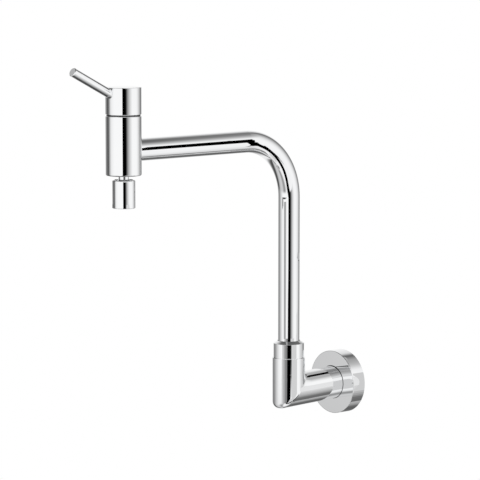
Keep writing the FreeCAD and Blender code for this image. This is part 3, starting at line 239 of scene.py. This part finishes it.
def chrome_plate(name, haze, wave_scale, wave_depth):
    """Chrome plate over polished brass, with a faint haze and the waves that buffing leaves."""
    material, tree, shader = new_material(name)
    shader.inputs["Metallic"].default_value = 1.0
    tint(tree, own_noise(tree, 11.0), (0.915, 0.92, 0.93), (0.945, 0.95, 0.955), shader)
    vary(tree, own_noise(tree, 60.0, 4.0), haze, 2.0 * haze, shader, "Roughness")
    raise_surface(tree, own_noise(tree, wave_scale, 1.0), wave_depth, shader)
    return material


cast_chrome = chrome_plate("chrome_on_casting", 0.012, 55.0, 0.000012)
finish(nodes["elbow_body"], cast_chrome)


# Wall flange. A dish spun from brass sheet, polished and chromed, which hides the hole in the
# wall. A rubber ring in the arm's groove holds it, and a foam ring at its back seals on the wall.

spun_chrome = chrome_plate("chrome_on_spun_sheet", 0.012, 28.0, 0.00001)
finish(nodes["escutcheon"], spun_chrome)


def moulded_rubber(name):
    """Black nitrile rubber: matt, with the fine grain of the mould and a little bloom."""
    material, tree, shader = new_material(name)
    tint(tree, own_noise(tree, 350.0), (0.018, 0.018, 0.019), (0.04, 0.04, 0.042), shader)
    grain = own_noise(tree, 4000.0)
    vary(tree, grain, 0.5, 0.68, shader, "Roughness")
    raise_surface(tree, grain, 0.00001, shader)
    return material


rubber = moulded_rubber("moulded_rubber")
finish(nodes["flange_ring"], rubber)

# Outline of the foam ring's section, as radius and place along Y in millimetres: its faces bulge
# where the rim of the flange squeezes it.
FOAM = [(24.28, -0.6), (24.28, -1.4), (24.6, -1.85), (25.2, -2.0), (30.4, -2.0), (31.0, -1.85),
        (31.27, -1.4), (31.27, -0.5), (31.0, -0.1), (30.4, 0.0), (25.2, 0.0), (24.6, -0.15),
        (24.28, -0.6)]
foam_corners = [(radius / 1000, place / 1000, 0.0) for radius, place in FOAM]
foam_ring = start_outline("foam_ring", foam_corners[0])
draw_outline(foam_corners)
bpy.ops.mesh.select_all(action="SELECT")
bpy.ops.mesh.spin(steps=96, angle=math.tau, center=(0, 0, 0), axis=(0, 1, 0))
clean_shell(foam_ring)

foam, tree, shader = new_material("closed_cell_foam")
tint(tree, own_noise(tree, 500.0), (0.03, 0.03, 0.032), (0.075, 0.075, 0.078), shader)
shader.inputs["Roughness"].default_value = 0.9
place = tree.nodes.new("ShaderNodeTexCoord")
cells = tree.nodes.new("ShaderNodeTexVoronoi")
cells.inputs["Scale"].default_value = 1600.0
link(tree, place, "Object", cells, "Vector")
raise_surface(tree, cells, 0.00012, shader)
finish(foam_ring, foam)
finish(nodes["wall_gasket"], foam)
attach(foam_ring, "wall_body")
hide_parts("wall_gasket")


# Swivel. The brass tailpiece turns in the elbow's leg on two rubber rings, and its flange runs
# between two plastic glide rings. A chromed gland nut, screwed into the leg, holds it down.

def moulded_plastic(name, dark, light, roughness):
    """Moulded acetal: a slightly waxy surface with faint flow marks."""
    material, tree, shader = new_material(name)
    tint(tree, own_noise(tree, 90.0, 2.0), dark, light, shader)
    grain = own_noise(tree, 2500.0)
    vary(tree, grain, roughness, roughness + 0.1, shader, "Roughness")
    raise_surface(tree, grain, 0.000006, shader)
    return material


white_acetal = moulded_plastic("white_acetal", (0.76, 0.76, 0.73), (0.82, 0.82, 0.8), 0.3)
black_acetal = moulded_plastic("black_acetal", (0.014, 0.014, 0.015), (0.024, 0.024, 0.025), 0.3)
upright_brass = turned_brass("brass_turned_upright", "Z")
finish(nodes["swivel_tailpiece"], upright_brass)
for ring in ("lower_swivel_ring", "upper_swivel_ring"):
    finish(nodes[ring], rubber)
for ring in ("lower_glide_ring", "upper_glide_ring"):
    finish(nodes[ring], white_acetal)
turned_chrome = chrome_plate("chrome_on_turned_brass", 0.01, 22.0, 0.000005)
finish(nodes["gland_nut"], turned_chrome)


# Spout tube. Drawn brass tube with one bend, polished along its length and chromed, soldered into
# the tailpiece's cup and the valve body's socket.

tube_chrome = chrome_plate("chrome_on_drawn_tube", 0.01, 14.0, 0.000006)
finish(nodes["spout_tube"], tube_chrome)


# Valve body. Turned from brass bar, bored and threaded inside, polished and chromed. A black
# plastic ring in its top guides the handle cap and shows as the floor of the dark groove.

finish(nodes["valve_body"], turned_chrome)
finish(nodes["guide_ring"], black_acetal)


# Valve cartridge. A brass cartridge with a slotted barrel, in which a spindle turns one lapped
# ceramic disc on another through a quarter turn. A rubber seat presses the discs together.

ceramic, tree, shader = new_material("lapped_ceramic")
tint(tree, own_noise(tree, 220.0), (0.8, 0.78, 0.71), (0.86, 0.84, 0.79), shader)
pores = own_noise(tree, 5000.0)
vary(tree, pores, 0.1, 0.24, shader, "Roughness")
raise_surface(tree, pores, 0.000002, shader)
steel, tree, shader = new_material("stainless_steel")
shader.inputs["Metallic"].default_value = 1.0
tint(tree, own_noise(tree, 700.0), (0.52, 0.52, 0.51), (0.64, 0.64, 0.63), shader)
drawing_marks = own_noise(tree, 2500.0)
vary(tree, drawing_marks, 0.22, 0.4, shader, "Roughness")
raise_surface(tree, drawing_marks, 0.000004, shader)
for piece in ("cartridge_body", "spindle"):
    finish(nodes[piece], upright_brass)
for disc in ("fixed_disc", "moving_disc"):
    finish(nodes[disc], ceramic)
for ring in ("seat_gasket", "lower_stem_ring", "upper_stem_ring"):
    finish(nodes[ring], rubber)
finish(nodes["thrust_washer"], white_acetal)
finish(nodes["spindle_clip"], steel)


# Handle. A turned and chromed cap on the spindle's square, held by a steel grub screw under a
# chromed plug at the back, and a straight chromed rod that is screwed into its slanted seat.

for piece in ("handle_cap", "lever_rod", "screw_plug"):
    finish(nodes[piece], turned_chrome)
finish(nodes["grub_screw"], steel)


# Ball joint. A chromed stud with a ball, screwed up into the valve body on a rubber washer. A
# dark plastic slip ring lies between the ball and the aerator's shell, above a white ball seat.

finish(nodes["ball_stud"], turned_chrome)
finish(nodes["stud_washer"], rubber)
finish(nodes["slip_ring"], black_acetal)
finish(nodes["ball_seat"], white_acetal)
finish(nodes["seat_washer"], rubber)
finish(nodes["seat_follower"], upright_brass)


# Aerator. A chromed shell with a white plastic insert, two steel screens and a honeycomb grid,
# held by a notched ring in its foot. Each screen is fine woven wire with its edge pressed into a
# folded rim, and shows through the cells of the grid.

finish(nodes["aerator_shell"], turned_chrome)
finish(nodes["outlet_ring"], turned_chrome)
finish(nodes["insert_washer"], rubber)
for piece in ("aerator_insert", "stream_grid"):
    finish(nodes[piece], white_acetal)

# The net: pitch and thickness of its wire, how far the wire waves up and down, the net's height
# above the screen's foot, and how far it reaches into the rim.
WIRE_PITCH = 0.0005
WIRE_THICKNESS = 0.00018
WIRE_WAVE = 0.00005
NET_HEIGHT = 0.0002
NET_IN_RIM = 0.00048
RIM_WIDTH = 0.0012
RIM_BEVEL = 0.00015
low_corner, high_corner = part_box("lower_screen")
screen_middle = (low_corner + high_corner) / 2
screen_radius = (high_corner.x - low_corner.x) / 2
net_radius = screen_radius - RIM_WIDTH + NET_IN_RIM
cells_across = 2 * math.ceil(net_radius / WIRE_PITCH)
bpy.ops.object.select_all(action="DESELECT")
bpy.ops.mesh.primitive_grid_add(
    x_subdivisions=cells_across, y_subdivisions=cells_across, size=cells_across * WIRE_PITCH,
    location=(screen_middle.x, screen_middle.y, low_corner.z + NET_HEIGHT),
)
screen = bpy.context.object
bpy.ops.object.transform_apply(location=True, rotation=True, scale=True)
bpy.ops.object.mode_set(mode="EDIT")
bpy.ops.mesh.select_mode(type="FACE")
bpy.ops.mesh.select_all(action="DESELECT")
bpy.ops.object.mode_set(mode="OBJECT")
for cell in screen.data.polygons:
    off_axis = cell.center - screen_middle
    cell.select = off_axis.xy.length > net_radius
bpy.ops.object.mode_set(mode="EDIT")
bpy.ops.mesh.delete(type="FACE")
bpy.ops.object.mode_set(mode="OBJECT")
# Each wire passes over one crossing wire and under the next.
for crossing in screen.data.vertices:
    column = round((crossing.co.x - screen_middle.x) / WIRE_PITCH)
    row = round((crossing.co.y - screen_middle.y) / WIRE_PITCH)
    crossing.co.z += WIRE_WAVE if (column + row) % 2 else -WIRE_WAVE
wires = screen.modifiers.new("wires", "WIREFRAME")
wires.thickness = WIRE_THICKNESS
wires.use_even_offset = False
wires.use_boundary = True
bpy.ops.object.modifier_apply(modifier="wires")
rim_radius = screen_radius - RIM_WIDTH
foot, top = low_corner.z, high_corner.z
rim_outline = [
    (rim_radius, foot + RIM_BEVEL), (rim_radius + RIM_BEVEL, foot),
    (screen_radius - RIM_BEVEL, foot), (screen_radius, foot + RIM_BEVEL),
    (screen_radius, top - RIM_BEVEL), (screen_radius - RIM_BEVEL, top),
    (rim_radius + RIM_BEVEL, top), (rim_radius, top - RIM_BEVEL), (rim_radius, foot + RIM_BEVEL),
]
rim_corners = [
    (screen_middle.x + radius, screen_middle.y, height) for radius, height in rim_outline
]
rim = start_outline("screen_rim", rim_corners[0])
draw_outline(rim_corners)
bpy.ops.mesh.select_all(action="SELECT")
bpy.ops.mesh.spin(
    steps=64, angle=math.tau, center=(screen_middle.x, screen_middle.y, 0), axis=(0, 0, 1)
)
clean_shell(rim)
screen.select_set(True)
rim.select_set(True)
bpy.context.view_layer.objects.active = screen
bpy.ops.object.join()
screens = [screen, screen.copy()]
screens[1].data = screen.data.copy()
bpy.context.scene.collection.objects.link(screens[1])
screen_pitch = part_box("upper_screen")[0].z - low_corner.z
for point in screens[1].data.vertices:
    point.co.z += screen_pitch
for number, node in enumerate(("lower_screen", "upper_screen")):
    screens[number].name = node.replace("screen", "wire_screen")
    screens[number].data.name = screens[number].name
    finish(screens[number], steel)
    finish(nodes[node], steel)
    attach(screens[number], "aerator")
    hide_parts(node)


# Floor: plain pale studio floor, well below the faucet, which hangs in the air as on a wall that
# isn't shown.

FLOOR_RADIUS = 1.4
FLOOR_MIDDLE = (0.0, -0.15, -0.4)
bpy.ops.object.select_all(action="DESELECT")
bpy.ops.mesh.primitive_circle_add(
    vertices=96, radius=FLOOR_RADIUS, fill_type="NGON", location=FLOOR_MIDDLE
)
floor = bpy.context.object
floor.name = "floor"
floor.visible_glossy = False
paint, tree, shader = new_material("pale_floor")
shader.inputs["Base Color"].default_value = (0.85, 0.85, 0.85, 1.0)
shader.inputs["Roughness"].default_value = 0.8
finish(floor, paint)


# Light tent: a drum of white cloth round the faucet, lit from outside, which only the chrome
# sees. It is greyer at its back and towards its roof, and a dark gap stands where the camera
# looks in.

TENT_RADIUS = 3.2
TENT_HALF_HEIGHT = 6.0
TENT_MIDDLE = (0.0, -0.18, 0.2)
# How white the cloth is round the drum, by heading in degrees, at the faucet's level.
LEVEL_CLOTH = [
    (-180, 0.2), (-174, 0.22), (-152, 0.42), (-142, 0.58), (-135, 0.68), (-128, 0.74),
    (-121, 0.88), (-110, 0.95), (-98, 1.0), (48, 0.98), (58, 0.88), (66, 0.76), (74, 0.62),
    (82, 0.46), (90, 0.34), (98, 0.24), (104, 0.14), (109, 0.16), (114, 0.4), (120, 0.75),
    (136, 0.95), (150, 1.0), (160, 0.8), (170, 0.5), (180, 0.2),
]
# The same lower down. The one passes into the other between these elevations.
LOW_TO_LEVEL = (-20.0, -12.0)
LOW_CLOTH = [
    (-180, 0.1), (-165, 0.07), (-157, 0.1), (-148, 0.42), (-135, 0.6), (-112, 0.68),
    (-97, 0.42), (-86, 0.28), (-76, 0.42), (-67, 0.8), (-58, 0.95), (48, 0.95), (60, 0.8),
    (80, 0.48), (95, 0.33), (104, 0.16), (115, 0.11), (128, 0.15), (138, 0.55), (148, 0.95),
    (158, 0.85), (167, 0.4), (175, 0.2), (180, 0.1),
]
# How white it is at most, by elevation in degrees.
UP_CLOTH = [(-90, 0.6), (-70, 1.0), (24, 1.0), (31, 0.8), (38, 0.54), (44, 0.38), (48, 0.24),
            (52, 0.14), (90, 0.1)]
# What the gap and the dusk to its right let through, by heading, and the elevations between
# which the gap opens and closes.
GAP_FOOT, GAP_TOP = (-15.0, -12.0), (1.6, 0.2)
GAP = [(-180, 1.0), (-47.5, 1.0), (-46.5, 0.0), (-26, 0.0), (-21, 0.09), (-15, 0.3), (-9, 0.46),
       (-3, 0.62), (4, 0.78), (17, 1.0), (180, 1.0)]


def math_node(tree, operation, first, second=None):
    """A number worked out from others. A plain number goes in as it is."""
    node = tree.nodes.new("ShaderNodeMath")
    node.operation = operation
    for socket, given in enumerate((first, second)):
        if isinstance(given, (int, float)):
            node.inputs[socket].default_value = given
        elif given is not None:
            tree.links.new(given, node.inputs[socket])
    return node.outputs[0]


def rise_between(tree, source, start, end):
    """Goes smoothly from 0 to 1 while a number goes from start to end, up or down."""
    step = tree.nodes.new("ShaderNodeMapRange")
    step.interpolation_type = "SMOOTHSTEP"
    step.inputs["From Min"].default_value = start
    step.inputs["From Max"].default_value = end
    tree.links.new(source, step.inputs["Value"])
    return step.outputs["Result"]


def grey_scale(tree, angle, levels):
    """The grey level at an angle, from a list of angles and levels."""
    first, last = levels[0][0], levels[-1][0]
    share = math_node(tree, "DIVIDE", math_node(tree, "SUBTRACT", angle, first), last - first)
    ramp = tree.nodes.new("ShaderNodeValToRGB")
    tree.links.new(share, ramp.inputs["Fac"])
    stops = ramp.color_ramp.elements
    for number, (place, level) in enumerate(levels):
        position = (place - first) / (last - first)
        if number == 0:
            stop = stops[0]
        elif number == len(levels) - 1:
            stop = stops[-1]
        else:
            stop = stops.new(position)
        stop.position = position
        stop.color = (level, level, level, 1.0)
    return ramp.outputs["Color"]


def only_in_reflections(piece):
    piece.visible_camera = False
    piece.visible_diffuse = False
    piece.visible_shadow = False


bpy.ops.object.select_all(action="DESELECT")
bpy.ops.mesh.primitive_cylinder_add(
    vertices=128, radius=TENT_RADIUS, depth=2 * TENT_HALF_HEIGHT, location=TENT_MIDDLE,
)
tent = bpy.context.object
tent.name = "light_tent"
bpy.ops.object.transform_apply(location=True, rotation=True, scale=True)
only_in_reflections(tent)
cloth = bpy.data.materials.new("tent_cloth")
cloth.use_nodes = True
tree = cloth.node_tree
tree.nodes.clear()
place = tree.nodes.new("ShaderNodeTexCoord")
centred = tree.nodes.new("ShaderNodeVectorMath")
centred.operation = "SUBTRACT"
centred.inputs[1].default_value = TENT_MIDDLE
link(tree, place, "Object", centred, 0)
split = tree.nodes.new("ShaderNodeSeparateXYZ")
link(tree, centred, 0, split, 0)
across, along, up = split.outputs["X"], split.outputs["Y"], split.outputs["Z"]
level_distance = math_node(tree, "SQRT", math_node(
    tree, "ADD", math_node(tree, "MULTIPLY", across, across),
    math_node(tree, "MULTIPLY", along, along)))
heading = math_node(tree, "DEGREES", math_node(tree, "ARCTAN2", along, across))
elevation = math_node(tree, "DEGREES", math_node(tree, "ARCTAN2", up, level_distance))
low_grey = grey_scale(tree, heading, LOW_CLOTH)
step_up = math_node(tree, "SUBTRACT", grey_scale(tree, heading, LEVEL_CLOTH), low_grey)
round_grey = math_node(tree, "ADD", low_grey, math_node(
    tree, "MULTIPLY", step_up, rise_between(tree, elevation, *LOW_TO_LEVEL)))
grey = math_node(tree, "MINIMUM", round_grey, grey_scale(tree, elevation, UP_CLOTH))
gap_height = math_node(tree, "MULTIPLY", rise_between(tree, elevation, *GAP_FOOT),
                       rise_between(tree, elevation, *GAP_TOP))
darkening = math_node(tree, "MULTIPLY", gap_height,
                      math_node(tree, "SUBTRACT", 1.0, grey_scale(tree, heading, GAP)))
glow = tree.nodes.new("ShaderNodeEmission")
tree.links.new(math_node(tree, "MULTIPLY", grey, math_node(tree, "SUBTRACT", 1.0, darkening)),
               glow.inputs["Strength"])
out = tree.nodes.new("ShaderNodeOutputMaterial")
link(tree, glow, "Emission", out, "Surface")
tent.data.materials.append(cloth)


# Cards: pieces of black, grey and white card that stand inside the tent and that only the chrome
# sees. The far ones give the level tube and the bend their dark line. The near ones shade one
# part each, as a photographer's flags do.

def card(name, edges, grey):
    """A card between two edges, whose corners are given in pairs, in millimetres."""
    corners = [[side / 1000 for side in corner] for pair in edges for corner in pair]
    faces = [(2 * n, 2 * n + 1, 2 * n + 3, 2 * n + 2) for n in range(len(edges) - 1)]
    mesh = bpy.data.meshes.new(name)
    mesh.from_pydata(corners, [], faces)
    piece = bpy.data.objects.new(name, mesh)
    bpy.context.scene.collection.objects.link(piece)
    only_in_reflections(piece)
    paper = bpy.data.materials.new(name + "_paper")
    paper.use_nodes = True
    tree = paper.node_tree
    tree.nodes.clear()
    glow = tree.nodes.new("ShaderNodeEmission")
    glow.inputs["Strength"].default_value = grey
    out = tree.nodes.new("ShaderNodeOutputMaterial")
    link(tree, glow, "Emission", out, "Surface")
    piece.data.materials.append(paper)


def flat_card(name, x, y, z, grey):
    """A card square to the axes, with one place along one of them and two along the others."""
    places = [place if isinstance(place, tuple) else (place,) for place in (x, y, z)]
    corners = list(itertools.product(*places))
    card(name, [corners[:2], corners[2:]], grey)


def upright_card(name, part_y, away, headings, heights, grey):
    """A card that stands in front of an upright part, curved round it in four flats."""
    edges = []
    for step in range(5):
        turn = math.radians(headings[0] + (headings[1] - headings[0]) * step / 4)
        x, y = away * math.cos(turn), part_y + away * math.sin(turn)
        edges.append([(x, y, height) for height in heights])
    card(name, edges, grey)


def near_the_cloth(heading, elevation):
    """A place 200 mm inside the tent's cloth, in millimetres."""
    turn, away = math.radians(heading), 1000 * TENT_RADIUS - 200
    return (away * math.cos(turn), 1000 * TENT_MIDDLE[1] + away * math.sin(turn),
            1000 * TENT_MIDDLE[2] + away * math.tan(math.radians(elevation)))


# The far cards: a black crescent, from beside the gap round below to the right, and above its
# end there a short upright bar. Each line holds heading and elevation of both edges, in degrees.
CRESCENT = [
    ((39.8, -19), (39.6, -19)), ((40.0, -21), (38.9, -21)), ((41.4, -23.5), (37.6, -23.5)),
    ((44.6, -29), (33.6, -29)), ((47.3, -35.5), (29, -33.5)), ((45.5, -42), (25, -36)),
    ((39, -48), (20, -37.8)), ((30, -52.5), (14, -39)), ((20, -56), (8, -39.5)),
    ((8, -58), (0, -38.8)), ((-5, -57.3), (-8, -36.8)), ((-17, -54.8), (-16, -33.5)),
    ((-28, -51), (-22, -30)), ((-37, -46.5), (-27, -26.5)), ((-46, -39.5), (-29, -23)),
    ((-52.5, -31), (-29, -20)), ((-55.5, -23), (-28, -16.5)), ((-54, -15), (-26, -13)),
    ((-50, -10.5), (-25, -10.5)), ((-46.5, -8.8), (-26, -8.8)),
]
BAR = [((45.4, 20), (40.6, 20)), ((44.2, 12), (38.2, 12)), ((42.8, 4), (37.4, 4)),
       ((42.4, -1.4), (37.4, -1.4))]
for name, corners in (("crescent", CRESCENT), ("bar", BAR)):
    card(name, [(near_the_cloth(*left), near_the_cloth(*right)) for left, right in corners], 0.0)
# Beside the start of the bend, to join the bar's dark line to the crescent's.
BEND_FLAG = [
    ((-130, 280.5), (-130, 259.8)), ((-122, 278), (-122, 257.5)), ((-114, 272.5), (-115.5, 253.8)),
    ((-106.5, 264.5), (-109.5, 248.2)), ((-100, 255.8), (-105, 241.8)),
    ((-95.2, 247), (-100.3, 234.5)), ((-91.6, 238), (-96.4, 227.5)),
    ((-88.2, 228), (-93.4, 220.5)), ((-86.2, 218), (-91.8, 213)), ((-85.8, 206), (-90.8, 206)),
]
card("bend_flag", [((50, *outer), (50, *inner)) for outer, inner in BEND_FLAG], 0.0)
# Above the elbow's arm, grey with a black middle for the dark line along its top, and in front of
# the arm and the rim of the flange a row that darkens downwards: foot, grey and reach along Y.
flat_card("arm_flag", (-6.5, 28.5), (20, 68), 120, 0.0)
flat_card("arm_roof", (-45, 73), (20, 76), 121, 0.46)
BEFORE_ARM = [
    (-420, 0.15, 400), (-170, 0.17, 400), (-120, 0.27, 145), (-95, 0.38, 145), (-72, 0.49, 145),
    (-54, 0.57, 56), (-36, 0.68, 56), (-20, 0.82, 56),
]
BEFORE_ARM_TOP = 34
tops = [foot for foot, _, _ in BEFORE_ARM[1:]] + [BEFORE_ARM_TOP]
for (foot, grey, reach), top in zip(BEFORE_ARM, tops):
    flat_card(f"before_arm_{foot}", 100, (0, reach), (foot, top), grey)
flat_card("before_rim", 100, (56, 130), (-54, 54), 0.64)
# Round the elbow's leg: dusk on the left of its dark line, and pale grey on the right.
LEG_Y = -76.6
upright_card("leg_pale", LEG_Y, 120, (-88, -76), (-45, 36), 0.62)
upright_card("leg_grey", LEG_Y, 120, (-76, -65), (-45, 36), 0.4)
upright_card("leg_dusk", LEG_Y, 120, (-65, -52), (-45, 36), 0.24)
upright_card("leg_right", LEG_Y, 120, (-22, 15), (-36, 36), 0.67)
upright_card("leg_right_low", LEG_Y, 120, (-34, 15), (-110, -36), 0.67)
# Beside the upright tube, and behind the valve on its left.
flat_card("tube_grey", (3.6, 11.0), -110, (49, 190), 0.34)
flat_card("tube_pale", (0.5, 15.0), -111, (49, 190), 0.62)
VALVE_Y = -291.6
upright_card("valve_dark", VALVE_Y, 120, (-161, -139), (155, 340), 0.1)
upright_card("valve_grey", VALVE_Y, 125, (-166, -128), (155, 340), 0.36)
# Round the lever: below it a row from black to pale, above it grey, a white one that hides the
# bar, and a black one that its seat in the cap mirrors. That black one is painted shade: it
# darkens the seat round the lever's end, in place of the shade that the lever's end casts there.
BELOW_LEVER = [(-230, 0.12), (-55, 0.055), (12, 0.14), (32, 0.27), (60, 0.42), (90, 0.56),
               (130, 0.72)]
BELOW_LEVER_END = 240
rights = [left for left, _ in BELOW_LEVER[1:]] + [BELOW_LEVER_END]
for (left, grey), right in zip(BELOW_LEVER, rights):
    flat_card(f"below_lever_{left}", (left, right), (-345, -230), 180, grey)
flat_card("above_lever", (-50, 55), -200, (358, 430), 0.16)
flat_card("lever_white", 50, (-320, -222), (318, 372), 0.95)
# Painted shade: a black card where the lever's seat mirrors, which darkens the seat round the
# lever's end in place of its shade.
card("painted_seat_shade_card", [((-98, -392, 366), (-98, -392, 402)), ((-138, -352, 366), (-138, -352, 402))],
     0.02)


# World: the white room round the studio. It is white where it is seen, also in metal, and has a
# plain level as a light.

WORLD_LIGHT = 0.62
world = bpy.data.worlds.new("studio")
bpy.context.scene.world = world
world.use_nodes = True
tree = world.node_tree
tree.nodes.clear()
rays = tree.nodes.new("ShaderNodeLightPath")
seen = math_node(tree, "MAXIMUM", rays.outputs["Is Camera Ray"], rays.outputs["Is Glossy Ray"])
seen = math_node(tree, "MAXIMUM", seen, rays.outputs["Is Transmission Ray"])
gain = math_node(tree, "MULTIPLY", seen, 1.0 - WORLD_LIGHT)
glow = tree.nodes.new("ShaderNodeBackground")
tree.links.new(math_node(tree, "ADD", gain, WORLD_LIGHT), glow.inputs["Strength"])
glow.inputs["Color"].default_value = (1.0, 1.0, 1.0, 1.0)
out = tree.nodes.new("ShaderNodeOutputWorld")
link(tree, glow, "Background", out, "Surface")


# Lamp: one large soft box above and in front, which gives the floor and the plastic their shade.
# The chrome doesn't see it.

LAMP_PLACE = Vector((0.6, -1.2, 1.6))
LAMP_AIM = Vector((0.0, -0.15, 0.12))
bpy.ops.object.light_add(type="AREA", location=LAMP_PLACE)
lamp = bpy.context.object
lamp.data.shape = "DISK"
lamp.data.size = 1.6
lamp.data.energy = 14.0
lamp.rotation_euler = (LAMP_PLACE - LAMP_AIM).to_track_quat("Z", "Y").to_euler()
lamp.visible_glossy = False


# Camera: a long lens a little above the spout, which looks half from the right and slightly
# down, as the photograph does.

CAMERA_PLACE = (2.0798, -1.9795, 0.4922)
AZIMUTH = math.radians(48.55)
PITCH = math.radians(6.87)
bpy.ops.object.camera_add(location=CAMERA_PLACE, rotation=(math.pi / 2 - PITCH, 0.0, AZIMUTH))
camera = bpy.context.object
camera.data.lens = 210.0
camera.data.clip_start = 0.1
camera.data.clip_end = 50.0
bpy.context.scene.camera = camera
bpy.context.scene.view_settings.view_transform = "Standard"
